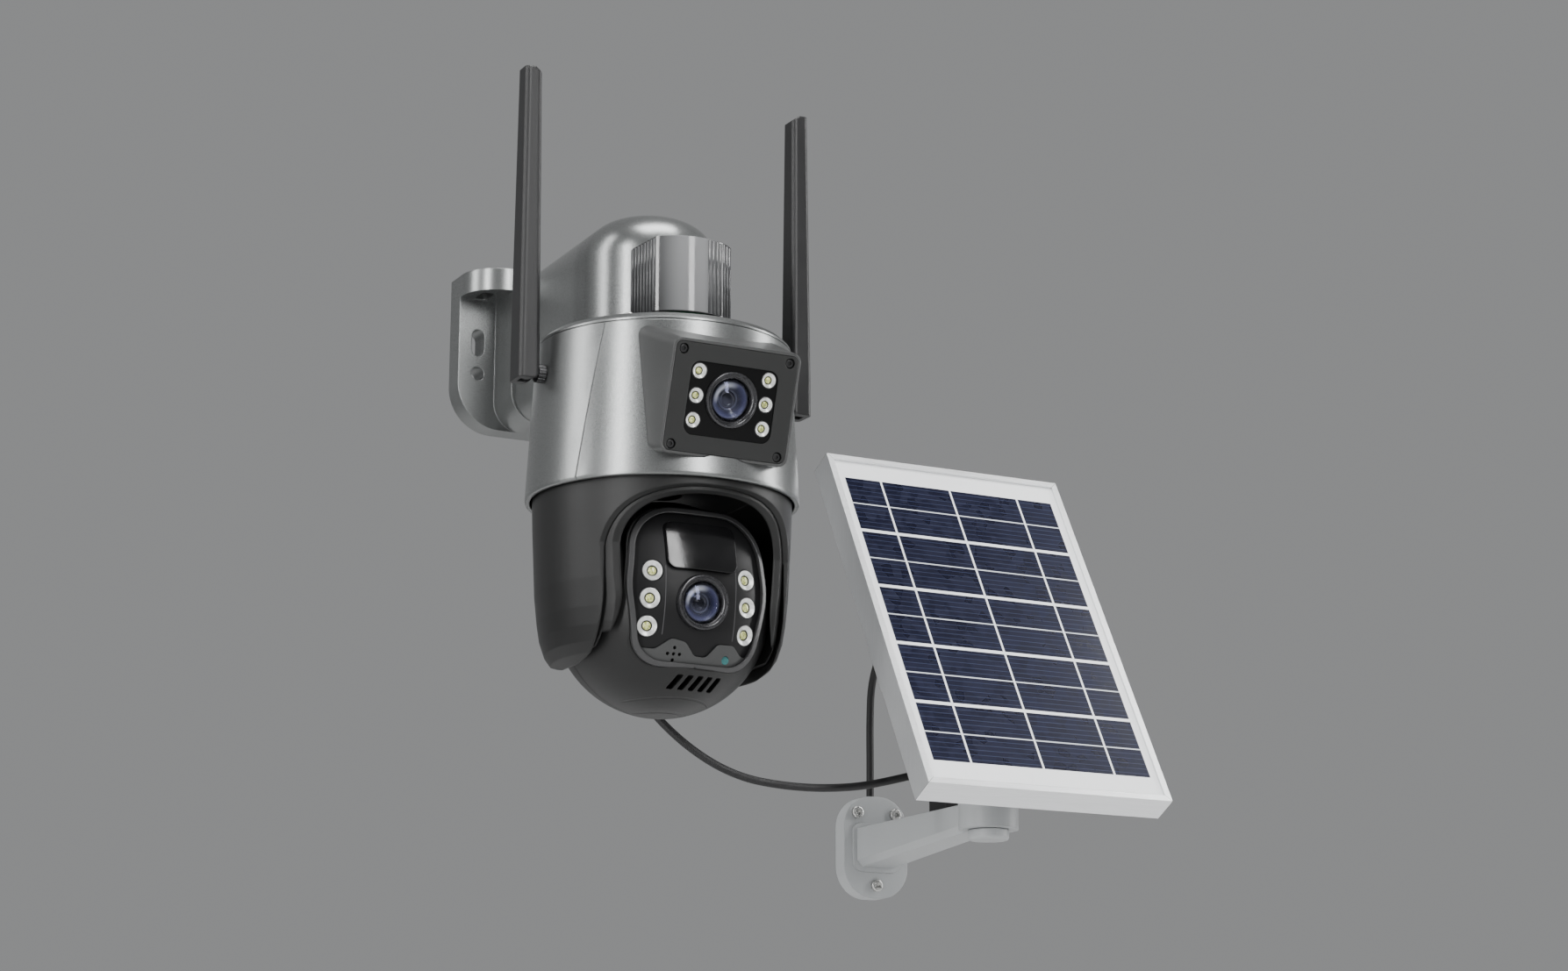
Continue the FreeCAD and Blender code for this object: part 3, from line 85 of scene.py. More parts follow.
class Shade:
    """One output of a material's nodes. Arithmetic on it adds Math nodes, and node() adds any other."""

    def __init__(self, tree, output):
        self.tree = tree
        self.output = output

    def node(self, kind, settings, sockets, result=0):
        made = self.tree.nodes.new(kind)
        for key, value in settings.items():
            if key == "stops":
                while len(made.color_ramp.elements) < len(value):
                    made.color_ramp.elements.new(0.5)
                for element, (position, colour) in zip(made.color_ramp.elements, value):
                    element.position = position
                    element.color = colour
            else:
                setattr(made, key, value)
        for key, value in sockets.items():
            if isinstance(value, Shade):
                self.tree.links.new(value.output, made.inputs[key])
            else:
                made.inputs[key].default_value = value
        return Shade(self.tree, made.outputs[result])

    def maths(self, operation, *others):
        return self.node("ShaderNodeMath", {"operation": operation}, dict(enumerate((self,) + others)))

    def __add__(self, other):
        return self.maths("ADD", other)

    def __sub__(self, other):
        return self.maths("SUBTRACT", other)

    def __mul__(self, other):
        return self.maths("MULTIPLY", other)

    def __rsub__(self, other):
        return self.maths("MULTIPLY_ADD", -1.0, other)

    def __abs__(self):
        return self.maths("ABSOLUTE")

    __radd__ = __add__
    __rmul__ = __mul__

    def step(self, low, high, start=0.0, end=1.0):
        """Rises or falls smoothly from start to end as this value goes from low to high."""
        return self.node("ShaderNodeMapRange", {"interpolation_type": "SMOOTHSTEP"},
                         {0: self, 1: low, 2: high, 3: start, 4: end})

    def colours(self, *stops):
        return self.node("ShaderNodeValToRGB", {"stops": [(p, (*c, 1)) for p, c in stops]}, {0: self})

    def blend(self, below, above):
        """The colour below where this mask is 0 and the colour above where it is 1."""
        sides = [c if isinstance(c, Shade) else (*c, 1) for c in (below, above)]
        return self.node("ShaderNodeMix", {"data_type": "RGBA"}, {0: self, 6: sides[0], 7: sides[1]}, 2)

    def noise(self, scale, detail=2.0):
        return self.node("ShaderNodeTexNoise", {}, {"Vector": self, "Scale": scale, "Detail": detail})

    def axes(self):
        return [self.node("ShaderNodeSeparateXYZ", {}, {0: self}, i) for i in range(3)]

    def into(self, name):
        self.tree.links.new(self.output, self.tree.nodes["Principled BSDF"].inputs[name])

    def bump(self, distance, edge=0.0):
        """This height as relief; edge is the radius to which sharp corners look rounded."""
        sockets = {"Strength": 1.0, "Distance": distance, "Height": self}
        if edge > 0:
            sockets["Normal"] = self.node("ShaderNodeBevel", {"samples": 4}, {"Radius": edge})
        self.node("ShaderNodeBump", {}, sockets).into("Normal")


def finish_of(name, **constants):
    """A new material with its unvarying settings, and the place of each point on the piece."""
    made = bpy.data.materials.new(name)
    made.use_nodes = True
    for key, value in constants.items():
        made.node_tree.nodes["Principled BSDF"].inputs[key.replace("_", " ")].default_value = value
    coords = made.node_tree.nodes.new("ShaderNodeTexCoord")
    return made, Shade(made.node_tree, coords.outputs["Object"])


studio_floor, at = finish_of("studio_floor", Roughness=0.75)
at.noise(3.0).blend((0.62, 0.62, 0.62), (0.68, 0.68, 0.68)).into("Base Color")
sheet = bmesh.new()
bmesh.ops.create_grid(sheet, x_segments=1, y_segments=1, size=5.0,
                      matrix=Matrix.Translation((0, 0, -0.52)))
floor_mesh = bpy.data.meshes.new("studio_floor")
sheet.to_mesh(floor_mesh)
sheet.free()
floor_mesh.materials.append(studio_floor)
floor = bpy.data.objects.new("studio_floor", floor_mesh)
scene.collection.objects.link(floor)


# ---- the leads ----
# Round black rubber lead, 3.8 mm thick. One length hangs from the camera arm's gland to the panel arm,
# one loops from the wall plate to the clip on the panel's holder, and a short tail goes on to the panel.
rubber, at = finish_of("lead_rubber", Roughness=0.5, Specular_IOR_Level=0.3)
scuff = at.noise(160.0, 4.0)
scuff.blend((0.007, 0.007, 0.0075), (0.017, 0.017, 0.0175)).into("Base Color")
scuff.step(0.2, 0.8, 0.38, 0.58).into("Roughness")
at.noise(2400.0).bump(0.00008)

LEAD_R = 0.0019


def lead_line(name, route):
    """The lead's smooth centreline as a curve object."""
    line = bpy.data.curves.new(name, "CURVE")
    line.dimensions = "3D"
    line.resolution_u = 14
    spline = line.splines.new("NURBS")
    spline.points.add(len(route) - 1)
    for point, place in zip(spline.points, route):
        point.co = (*place, 1)
    spline.order_u = 3
    spline.use_endpoint_u = True
    made = bpy.data.objects.new(name, line)
    scene.collection.objects.link(made)
    return made


def thickened(line):
    line.data.bevel_depth = LEAD_R
    line.data.bevel_resolution = 6
    line.data.use_fill_caps = True
    line.data.materials.append(rubber)


def followed(line):
    """Points along a centreline, and their whole length."""
    drawn = bpy.data.meshes.new_from_object(line)
    path = [v.co.copy() for v in drawn.vertices]
    bpy.data.meshes.remove(drawn)
    return path, sum((b - a).length for a, b in zip(path, path[1:]))


def lead_tube(line):
    """The lead as a mesh in place of its curve."""
    thickened(line)
    tube = bpy.data.meshes.new_from_object(line)
    name = line.name
    bpy.data.objects.remove(line)
    for face in tube.polygons:
        face.use_smooth = True
    made = bpy.data.objects.new(name, tube)
    scene.collection.objects.link(made)
    return made


hanging = lead_line("hanging_lead", [
    (0.004, -0.048, -0.037), (0.0045, -0.0478, -0.070), (0.008, -0.0465, -0.104), (0.014, -0.0482, -0.138),
    (0.0245, -0.0532, -0.168), (0.044, -0.0625, -0.1925), (0.069, -0.071, -0.209), (0.097, -0.0785, -0.2135),
    (0.125, -0.083, -0.2125), (0.148, -0.0843, -0.2075), (0.169, -0.084, -0.2014)])
path, reach = followed(hanging)
thickened(hanging)
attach(hanging, "wall_unit")
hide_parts("camera_lead")

loop = lead_line("holder_lead", [
    (0.1807, -0.0055, -0.208), (0.1807, -0.006, -0.187), (0.1803, -0.0065, -0.166), (0.180, -0.009, -0.143),
    (0.178, -0.027, -0.127), (0.177, -0.048, -0.119), (0.1766, -0.070, -0.126), (0.1763, -0.086, -0.142),
    (0.1761, -0.0955, -0.1595), (0.176, -0.1035, -0.176), (0.176, -0.1035, -0.195)])
path, reach = followed(loop)
loop = lead_tube(loop)
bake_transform(loop)
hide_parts("panel_lead")

tail = lead_line("panel_tail_lead", [
    (0.188, -0.1083, -0.1313), (0.1883, -0.0955, -0.1375), (0.1884, -0.0885, -0.1495),
    (0.1882, -0.0925, -0.1635), (0.188, -0.1035, -0.176), (0.188, -0.1035, -0.194)])
path, reach = followed(tail)
tail = lead_tube(tail)
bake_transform(tail)
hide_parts("panel_tail")


# ---- glands where the lead goes in ----
# Soft black moulding: a ribbed, tapered sleeve under the camera's arm, and the small box on the panel's arm.
def turned(name, profile, places, material, steps=48):
    """A closed piece turned about each place's Z from (radius, height) pairs in millimetres."""
    form = bmesh.new()
    for place in places:
        lathe = bmesh.new()
        corners = [lathe.verts.new((r / 1000, 0, z / 1000)) for r, z in profile]
        for a, b in zip(corners, corners[1:]):
            lathe.edges.new((a, b))
        bmesh.ops.spin(lathe, geom=lathe.verts[:] + lathe.edges[:], cent=(0, 0, 0), axis=(0, 0, 1),
                       angle=2 * math.pi, steps=steps, use_merge=True)
        bmesh.ops.remove_doubles(lathe, verts=lathe.verts, dist=1e-6)
        bmesh.ops.recalc_face_normals(lathe, faces=lathe.faces)
        bmesh.ops.transform(lathe, matrix=place, verts=lathe.verts)
        one = bpy.data.meshes.new(name)
        lathe.to_mesh(one)
        lathe.free()
        form.from_mesh(one)
        bpy.data.meshes.remove(one)
    for face in form.faces:
        face.smooth = True
    for edge in form.edges:
        edge.smooth = edge.calc_face_angle(0) < math.radians(32)
    mesh = bpy.data.meshes.new(name)
    form.to_mesh(mesh)
    form.free()
    mesh.materials.append(material)
    made = bpy.data.objects.new(name, mesh)
    scene.collection.objects.link(made)
    return made


def dress(material, *names):
    for name in names:
        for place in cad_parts[name].material_slots:
            place.material = material


gland_black, at = finish_of("gland_black", Roughness=0.55, Specular_IOR_Level=0.3)
at.noise(220.0, 3.0).blend((0.0075, 0.0075, 0.008), (0.015, 0.015, 0.0155)).into("Base Color")
at.noise(3200.0).bump(0.0001, edge=0.0004)
SLEEVE_PITCH, SLEEVE_TAPER = 2.4, 0.55
collar = [(1.95, 3.9), (3.45, 3.9), (3.45, 0), (6.0, 0), (6.0, -3.2), (5.6, -3.8), (5.0, -4.2)]
sleeve_ribs = []
for i in range(4):
    drop, inward = SLEEVE_PITCH * i, SLEEVE_TAPER * i
    sleeve_ribs += [(4.9 - inward, -5.6 - drop), (4.3 - inward, -5.9 - drop),
                    (4.2 - inward, -7.2 - drop), (4.4 - inward, -7.6 - drop)]
tip = [(2.1, -15.4), (1.95, -15.4), (1.95, 3.9)]
gland = turned("camera_strain_relief", collar + sleeve_ribs + tip,
               [Matrix.Translation((0.00415, -0.048, -0.038))], gland_black)
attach(gland, "wall_unit")
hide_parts("camera_gland")
dress(gland_black, "arm_terminal_box")


# ---- bracket, arm, shoulder and housing ----
# Moulded covers in satin silver-grey metallic paint: fine flake, faint haze and slightly softened edges.
silver_paint, at = finish_of("silver_paint", Metallic=0.85, Roughness=0.30,
                             Coat_Weight=0.15, Coat_Roughness=0.25)
flake = at.noise(5200.0, 1.0)
haze = at.noise(9.0, 2.0)
tone = flake.step(0.35, 0.65, 0.0, 0.35) + haze * 0.4
tone.blend((0.165, 0.171, 0.170), (0.245, 0.252, 0.250)).into("Base Color")
(flake * 0.08 + haze * 0.05 + 0.22).into("Roughness")
at.noise(2600.0, 2.0).bump(0.00003, edge=0.0007)
dress(silver_paint, "wall_bracket", "bracket_arm", "shoulder_cap", "housing_front", "housing_rear")


# ---- screws ----
# Pan head screws with hexagon sockets: bright steel on the bracket, the shoulder and the panel's mount,
# and black on the fixed camera.
screw_steel, at = finish_of("screw_steel", Metallic=1.0, Roughness=0.3)
turning = at.noise(900.0, 3.0)
turning.blend((0.42, 0.42, 0.41), (0.66, 0.66, 0.64)).into("Base Color")
turning.step(0.3, 0.7, 0.22, 0.42).into("Roughness")
turning.bump(0.00003, edge=0.0002)
dress(screw_steel, "cover_screws", "panel_wall_screws", "tilt_bolt")
screw_black, at = finish_of("screw_black", Metallic=0.8, Roughness=0.34)
at.noise(700.0, 3.0).blend((0.020, 0.020, 0.021), (0.055, 0.055, 0.056)).into("Base Color")
at.noise(2600.0).bump(0.00003, edge=0.0002)
dress(screw_black, "lens_block_screws")


# ---- alarm lamp ----
# Smoke-tinted moulding on the shoulder, over its board of lamps. Its colour carries painted light: a painted
# highlight across the middle of its bowed front, and lighter towards the top. Upright clear ribs stand on
# both cheeks and on the right half of its bowed front; the left half is plain.
smoke, at = finish_of("smoky_lens", Roughness=0.12, IOR=1.4, Transmission_Weight=0.12)
x, y, z = at.axes()
# Painted highlight: a bright band across the middle of the bowed front. Painted light also lightens the
# smoke towards the top.
middle = abs(x + 0.003).step(0.004, 0.019, 1.0, 0.0) * (y + 0.150).step(-0.008, 0.0, 1.0, 0.0)
tone = z.step(-0.018, 0.018, 0.0, 0.12) + middle * 0.85
tone.blend((0.006, 0.006, 0.0065), (0.21, 0.213, 0.216)).into("Base Color")
at.noise(120.0, 3.0).step(0.3, 0.7, 0.05, 0.13).into("Roughness")
at.noise(30.0, 1.0).bump(0.00008, edge=0.0004)
dress(smoke, "alarm_lamp_cover")

HOUSING_Y = -0.135
RIB_R, RIB_LOW, RIB_HIGH = 0.0008, -0.0166, 0.0176
CHEEK_RIBS, BOW_RIBS, BOW_PITCH = 8, 7, 2.2
BOW_HALF_W, BOW_RISE = 19.0, 8.0
ribs = bmesh.new()
stations = []
for i in range(CHEEK_RIBS):
    share = i / (CHEEK_RIBS - 1)
    for side in (-1, 1):
        stations.append((side * (20.5 - 1.5 * share), 9.2 + 19.6 * share))
bow_r = (BOW_HALF_W ** 2 + BOW_RISE ** 2) / (2 * BOW_RISE)
for i in range(BOW_RIBS):
    across = 4.4 + BOW_PITCH * i
    stations.append((across, 38.3 - bow_r + math.sqrt(bow_r ** 2 - across ** 2)))
for across, ahead in stations:
    bmesh.ops.create_cone(ribs, cap_ends=True, segments=16, radius1=RIB_R, radius2=RIB_R,
                          depth=RIB_HIGH - RIB_LOW,
                          matrix=Matrix.Translation((across / 1000, HOUSING_Y - ahead / 1000,
                                                     (RIB_LOW + RIB_HIGH) / 2)))
for face in ribs.faces:
    face.smooth = len(face.verts) == 4
rib_mesh = bpy.data.meshes.new("alarm_lamp_ribs")
ribs.to_mesh(rib_mesh)
ribs.free()
# The ribs are coloured lighter than the smoke cover: painted highlight standing in for the light they catch.
clear_rib, at = finish_of("clear_rib", Roughness=0.14, IOR=1.4, Transmission_Weight=0.1)
at.noise(200.0, 2.0).blend((0.045, 0.046, 0.048), (0.10, 0.102, 0.104)).into("Base Color")
at.noise(700.0).bump(0.00002)
rib_mesh.materials.append(clear_rib)
lamp_ribs = bpy.data.objects.new("alarm_lamp_ribs", rib_mesh)
scene.collection.objects.link(lamp_ribs)
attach(lamp_ribs, "wall_unit")


# ---- fixed camera's block ----
# Satin grey wedge-shaped hood with a charcoal frame screwed into its front, round a gloss black window.
grey_block, at = finish_of("grey_block", Metallic=0.3, Roughness=0.38, Specular_IOR_Level=0.35)
at.noise(20.0, 3.0).blend((0.048, 0.049, 0.049), (0.066, 0.067, 0.067)).into("Base Color")
at.noise(40.0, 2.0).step(0.3, 0.7, 0.32, 0.42).into("Roughness")
at.noise(2600.0, 2.0).bump(0.00004, edge=0.0009)
dress(grey_block, "lens_block_shell")
dark_frame, at = finish_of("dark_frame", Roughness=0.45, Specular_IOR_Level=0.22)
at.noise(24.0, 3.0).blend((0.0155, 0.016, 0.0158), (0.0215, 0.022, 0.0218)).into("Base Color")
at.noise(3000.0, 2.0).bump(0.00008, edge=0.0005)
dress(dark_frame, "lens_block_frame")
black_glass, at = finish_of("black_glass", Roughness=0.12, Specular_IOR_Level=0.16)
at.noise(30.0, 2.0).blend((0.0012, 0.0012, 0.0013), (0.0030, 0.0030, 0.0032)).into("Base Color")
at.noise(70.0, 3.0).step(0.3, 0.7, 0.10, 0.16).into("Roughness")
dress(black_glass, "lens_block_window")

# Places of the block's window and of the ball: their own Z points out of the glass and their Y up it.
BLOCK_LEAN, BALL_LEAN = math.radians(107.5), math.radians(97.0)
block_place = Matrix.Translation((0, -0.204, -0.0667)) @ Matrix.Rotation(BLOCK_LEAN, 4, "X")
ball_place = Matrix.Translation((0, HOUSING_Y, -0.147)) @ Matrix.Rotation(BALL_LEAN, 4, "X")


# ---- lamps beside both lenses ----
# Six white lamps to each lens: a frosted dished reflector in a thin rim, and a yellow phosphor chip
# under a small clear dome. They are pressed in from behind the windows.
reflector, at = finish_of("lamp_reflector", Roughness=0.3, Metallic=0.25, Coat_Weight=0.5)
at.noise(420.0, 3.0).step(0.3, 0.7).blend((0.47, 0.48, 0.47), (0.68, 0.69, 0.68)).into("Base Color")
at.noise(600.0, 2.0).bump(0.00012)
phosphor, at = finish_of("lamp_phosphor", Roughness=0.35, Coat_Weight=1.0, Coat_Roughness=0.05)
at.noise(1100.0, 2.0).step(0.35, 0.65).blend((0.24, 0.27, 0.05), (0.62, 0.64, 0.27)).into("Base Color")
at.noise(2200.0).bump(0.00008)
lamp_rim, at = finish_of("lamp_rim", Roughness=0.35)
at.noise(300.0).blend((0.010, 0.010, 0.011), (0.035, 0.035, 0.036)).into("Base Color")
at.noise(1800.0).bump(0.00004)

fixed_cups = [block_place @ Matrix.Translation((side * 0.017, 0.0011 + row * 0.0108, -0.0036))
              for side in (-1, 1) for row in (-1, 0, 1)]
ball_cups = []
for side in (-1, 1):
    for row, out in ((-1, 23.4), (0, 23.2), (1, 22.4)):
        across, up = side * out, 1.1 + row * 12.0
        rest = math.sqrt(75.0 ** 2 - across ** 2 - up ** 2)
        lean = Quaternion().slerp(Vector((0, 0, 1)).rotation_difference(Vector((across, up, rest))), 0.75)
        ball_cups.append(ball_place @ Matrix.Translation((across / 1000, up / 1000, (rest - 35.0) / 1000))
                         @ lean.to_matrix().to_4x4())
DRAWN_CUP_R = 4.6
for cups, radius, depth, body, node in ((fixed_cups, 3.7, 3.2, "wall_unit", "fixed_led_cups"),
                                        (ball_cups, 4.85, 2.4, "camera_ball", "ptz_led_cups")):
    s = radius / DRAWN_CUP_R
    rim = turned(node + "_rims", [
        (radius - 0.42, depth - 0.6), (radius - 0.38, depth - 0.05), (radius - 0.2, depth),
        (radius - 0.03, depth - 0.12), (radius - 0.03, 0.1), (radius - 0.42, 0.1),
        (radius - 0.42, depth - 0.6)], cups, lamp_rim, 40)
    dish = turned(node + "_dishes", [
        (0, 0.15), (radius - 0.45, 0.15), (radius - 0.45, depth - 0.12), (4.0 * s, depth - 0.08),
        (3.8 * s, depth - 0.20), (3.3 * s, depth - 0.42), (2.9 * s, depth - 0.60), (2.6 * s, depth - 0.74),
        (2.4 * s, depth - 0.86), (2.3 * s, depth - 1.05), (2.3 * s, depth - 1.6), (0, depth - 1.6)],
        cups, reflector, 40)
    well = turned(node + "_wells", [(0, depth - 1.58), (2.26 * s, depth - 1.58), (2.26 * s, depth - 1.06),
                                    (2.05 * s, depth - 1.12), (1.9 * s, depth - 1.5), (0, depth - 1.5)],
                  cups, lamp_rim, 32)
    chip = turned(node + "_chips", [(0, depth - 1.48), (1.8 * s, depth - 1.48), (1.8 * s, depth - 1.2),
                                    (1.6 * s, depth - 1.0), (1.2 * s, depth - 0.84), (0.6 * s, depth - 0.74),
                                    (0, depth - 0.72)], cups, phosphor, 10)
    for piece in (rim, dish, well, chip):
        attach(piece, body)
    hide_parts(node)


# ---- lenses ----
# Black anodised barrel with stepped, fine-turned rings; a domed, coated front glass; and behind it the
# inner elements, which show violet-blue rings round a black pupil, painted on as painted reflection, with a
# bright painted highlight crescent at their top left.
barrel_black, at = finish_of("barrel_black", Roughness=0.3, Metallic=0.6, Coat_Weight=0.3)
at.noise(60.0, 3.0).blend((0.016, 0.016, 0.018), (0.040, 0.040, 0.043)).into("Base Color")
at.noise(900.0, 3.0).step(0.3, 0.7, 0.24, 0.40).into("Roughness")
at.noise(1600.0).bump(0.00003)
coated, at = finish_of("coated_glass", Roughness=0.02, IOR=1.33, Transmission_Weight=1.0,
                       Specular_Tint=(0.62, 0.66, 1.0, 1))
at.noise(25.0).blend((0.86, 0.87, 0.95), (0.90, 0.91, 0.98)).into("Base Color")
at.noise(90.0, 2.0).step(0.2, 0.8, 0.01, 0.035).into("Roughness")

# Drawn for the larger lens, of DRAWN_LENS_R, and scaled across for the other.
DRAWN_LENS_R, DRAWN_ELEMENT_R = 12.4, 9.4
ring_profile = [(0, -14), (DRAWN_LENS_R, -14), (DRAWN_LENS_R, 0.3), (12.2, 0.65), (11.8, 0.8), (11.4, 0.8),
                (11.2, 0.6), (11.1, 0.25), (10.8, 0.15), (10.6, 0.3), (10.2, 0.0), (10.0, -0.35),
                (9.8, -0.4), (9.65, -0.3), (9.55, -0.9), (9.5, -6.4), (0, -6.4)]
element_profile = [(0, -6.3), (DRAWN_ELEMENT_R, -6.3), (DRAWN_ELEMENT_R, -2.2), (9.0, -2.0), (8.2, -2.1),
                   (7.0, -2.5), (5.8, -3.1), (4.6, -3.9), (3.7, -4.6), (3.3, -4.4), (3.0, -4.3), (2.7, -4.6),
                   (2.2, -5.0), (1.9, -5.05), (1.5, -4.9), (1.0, -4.75), (0.5, -4.68), (0, -4.66)]
for place, ahead, radius, tilt, body, nodes in (
        (block_place, 0.0, 12.4, BLOCK_LEAN, "wall_unit", ("fixed_lens_barrel", "fixed_lens_glass")),
        (ball_place, 43.1, 12.2, BALL_LEAN, "camera_ball", ("ptz_lens_barrel", "ptz_lens_glass"))):
    axis_place = place @ Matrix.Translation((0, 0.0011, ahead / 1000))
    s = radius / DRAWN_LENS_R
    barrel = turned(nodes[0] + "_rings", [(r * s, z) for r, z in ring_profile],
                    [axis_place], barrel_black, 96)
    inner, at = finish_of(nodes[1] + "_elements", Roughness=0.22, Specular_IOR_Level=0.2)
    centre = axis_place.translation
    local = at.node("ShaderNodeMapping", {"vector_type": "TEXTURE"},
                    {"Vector": at, "Location": centre, "Rotation": (tilt, 0, 0)})
    across, up = local.axes()[:2]
    away = (across * across + up * up).maths("SQRT") * (1000.0 / (DRAWN_ELEMENT_R * s))
    # Painted highlight: a bright silver crescent over the top left of the elements. Below it the violet-blue
    # rings are painted reflection.
    painted_highlight_side = (across * -0.62 + up * 0.78) * (1000.0 / (DRAWN_ELEMENT_R * s)) + local.noise(90.0) * 0.2 - 0.10
    painted_reflection_rings = away.colours(
        (0.0, (0.001, 0.001, 0.0015)), (0.26, (0.001, 0.001, 0.0015)), (0.31, (0.030, 0.031, 0.036)),
        (0.36, (0.003, 0.003, 0.005)), (0.43, (0.070, 0.075, 0.095)), (0.48, (0.006, 0.007, 0.014)),
        (0.60, (0.010, 0.012, 0.032)), (0.72, (0.034, 0.036, 0.085)), (0.82, (0.075, 0.080, 0.135)),
        (0.88, (0.020, 0.021, 0.035)), (0.94, (0.004, 0.004, 0.005)), (1.0, (0.002, 0.002, 0.003)))
    painted_highlight_rings = away.colours(
        (0.0, (0.001, 0.001, 0.0015)), (0.28, (0.002, 0.002, 0.003)), (0.36, (0.020, 0.021, 0.026)),
        (0.44, (0.006, 0.007, 0.010)), (0.50, (0.14, 0.145, 0.155)), (0.62, (0.62, 0.63, 0.64)),
        (0.74, (0.36, 0.37, 0.39)), (0.84, (0.02, 0.02, 0.025)), (1.0, (0.002, 0.002, 0.003)))
    painted_highlight_side.step(0.15, 0.60).blend(painted_reflection_rings, painted_highlight_rings).into("Base Color")
    (local.noise(500.0) * 0.08 + away * 0.10 + 0.14).into("Roughness")
    elements = turned(nodes[1] + "_elements", [(r * s, z) for r, z in element_profile],
                      [axis_place], inner, 72)
    seat, top = 9.5 * s, 0.9
    dome_r = 17.0 * s
    front = [(dome_r * math.sin(a), top - dome_r + dome_r * math.cos(a))
             for a in [math.asin(seat / dome_r) * i / 12 for i in range(12, -1, -1)]]
    rear = [(0, top - 1.5), (4.0 * s, top - 2.0), (7.0 * s, top - 2.7), (9.2 * s, top - 3.35),
            (seat, top - 3.4)]
    glass = turned(nodes[1] + "_dome", front + rear + [front[0]], [axis_place], coated, 72)
    for piece, slot_name in ((barrel, "lens_black"), (elements, "lens_black"), (glass, "lens_glass")):
        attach(piece, body)
    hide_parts(nodes[0])
    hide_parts(nodes[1])


# ---- antennas ----
# Satin black covers moulded over the whip, in a fork on a turning knuckle; black-nickel sockets and nuts.
antenna_black, at = finish_of("antenna_black", Roughness=0.36, Specular_IOR_Level=0.32)
mottle = at.noise(30.0, 4.0)
mottle.blend((0.0085, 0.0085, 0.009), (0.0135, 0.0135, 0.014)).into("Base Color")
mottle.step(0.3, 0.7, 0.30, 0.40).into("Roughness")
at.noise(2800.0).bump(0.00005, edge=0.0012)
dress(antenna_black, "right_antenna_blade", "left_antenna_blade",
      "right_antenna_knuckle", "left_antenna_knuckle")
black_nickel, at = finish_of("black_nickel", Metallic=1.0, Roughness=0.28)
at.noise(500.0, 3.0).blend((0.05, 0.05, 0.052), (0.11, 0.11, 0.112)).into("Base Color")
at.noise(2000.0).bump(0.00003, edge=0.0002)
dress(black_nickel, "antenna_connectors")


# ---- turning head ----
# Satin black moulding with a very fine spark grain: the cover with its two ears over an inner frame.
head_black, at = finish_of("head_black", Roughness=0.4, Specular_IOR_Level=0.28)
mottle = at.noise(16.0, 3.0)
mottle.blend((0.0068, 0.0069, 0.0069), (0.0105, 0.0107, 0.0106)).into("Base Color")
(at.noise(1800.0) * 0.10 + mottle * 0.10 + 0.29).into("Roughness")
at.noise(3400.0, 2.0).bump(0.00007, edge=0.0010)
dress(head_black, "yoke_cover", "yoke_frame", "tilt_trunnions")


# ---- ball ----
# The same black moulding in two shells. Two shallow arcs are sunk in the chin under the vents.
ball_black, at = finish_of("ball_black", Roughness=0.4, Specular_IOR_Level=0.28)
local = at.node("ShaderNodeMapping", {"vector_type": "TEXTURE"},
                {"Vector": at, "Location": ball_place.translation, "Rotation": (BALL_LEAN, 0, 0)})
across, up, ahead = local.axes()
mottle = at.noise(18.0, 3.0)
mottle.blend((0.0068, 0.0069, 0.0069), (0.0105, 0.0107, 0.0106)).into("Base Color")
(at.noise(1800.0) * 0.10 + mottle * 0.10 + 0.27).into("Roughness")
chin = up + across * across * 6.0
groove = (abs(chin + 0.0405).step(0.0002, 0.0005, 1.0, 0.0)
          + abs(chin + 0.0465).step(0.0002, 0.0005, 1.0, 0.0))
groove = groove * abs(across).step(0.018, 0.022, 1.0, 0.0) * ahead.step(0.0, 0.004)
(at.noise(3400.0, 2.0) * 0.15 - groove).bump(0.0004, edge=0.0008)
dress(ball_black, "ball_front_shell", "ball_rear_shell")


# ---- face of the ball ----
# A satin charcoal ring round a smoked gloss window, the boxy dark cover of the motion sensor, and a grey
# plate with the microphone's five holes and a small teal light sensor.
bezel_grey, at = finish_of("bezel_grey", Roughness=0.34, Metallic=0.1, Specular_IOR_Level=0.4)
at.noise(40.0, 3.0).blend((0.030, 0.030, 0.031), (0.042, 0.042, 0.043)).into("Base Color")
at.noise(2600.0).bump(0.00004, edge=0.0008)
dress(bezel_grey, "face_bezel")
face_black, at = finish_of("face_black", Roughness=0.4, Specular_IOR_Level=0.16)
local = at.node("ShaderNodeMapping", {"vector_type": "TEXTURE"},
                {"Vector": at, "Location": ball_place.translation, "Rotation": (BALL_LEAN, 0, 0)})
across, up = local.axes()[:2]
line = (abs(abs(across) - 0.0172).step(0.00012, 0.00026, 1.0, 0.0)
        * abs(up - 0.001).step(0.0150, 0.0156, 1.0, 0.0))
glaze = at.noise(35.0, 2.0).blend((0.0060, 0.0060, 0.0064), (0.0085, 0.0085, 0.0090))
line.blend(glaze, (0.055, 0.055, 0.057)).into("Base Color")
at.noise(80.0, 3.0).step(0.3, 0.7, 0.34, 0.44).into("Roughness")
(at.noise(2600.0) * 0.1 - line).bump(0.0001, edge=0.0003)
dress(face_black, "face_window")
pir_black, at = finish_of("pir_black", Roughness=0.16, Specular_IOR_Level=0.4)
at.noise(45.0, 2.0).blend((0.0030, 0.0030, 0.0033), (0.0060, 0.0060, 0.0063)).into("Base Color")
at.noise(90.0, 2.0).step(0.3, 0.7, 0.10, 0.18).into("Roughness")
at.noise(1200.0).bump(0.00002, edge=0.0007)
dress(pir_black, "pir_window")
sensor_grey, at = finish_of("sensor_grey", Roughness=0.42, Metallic=0.1, Specular_IOR_Level=0.35)
at.noise(50.0, 3.0).blend((0.034, 0.035, 0.035), (0.045, 0.046, 0.046)).into("Base Color")
at.noise(3000.0).bump(0.00008, edge=0.0003)
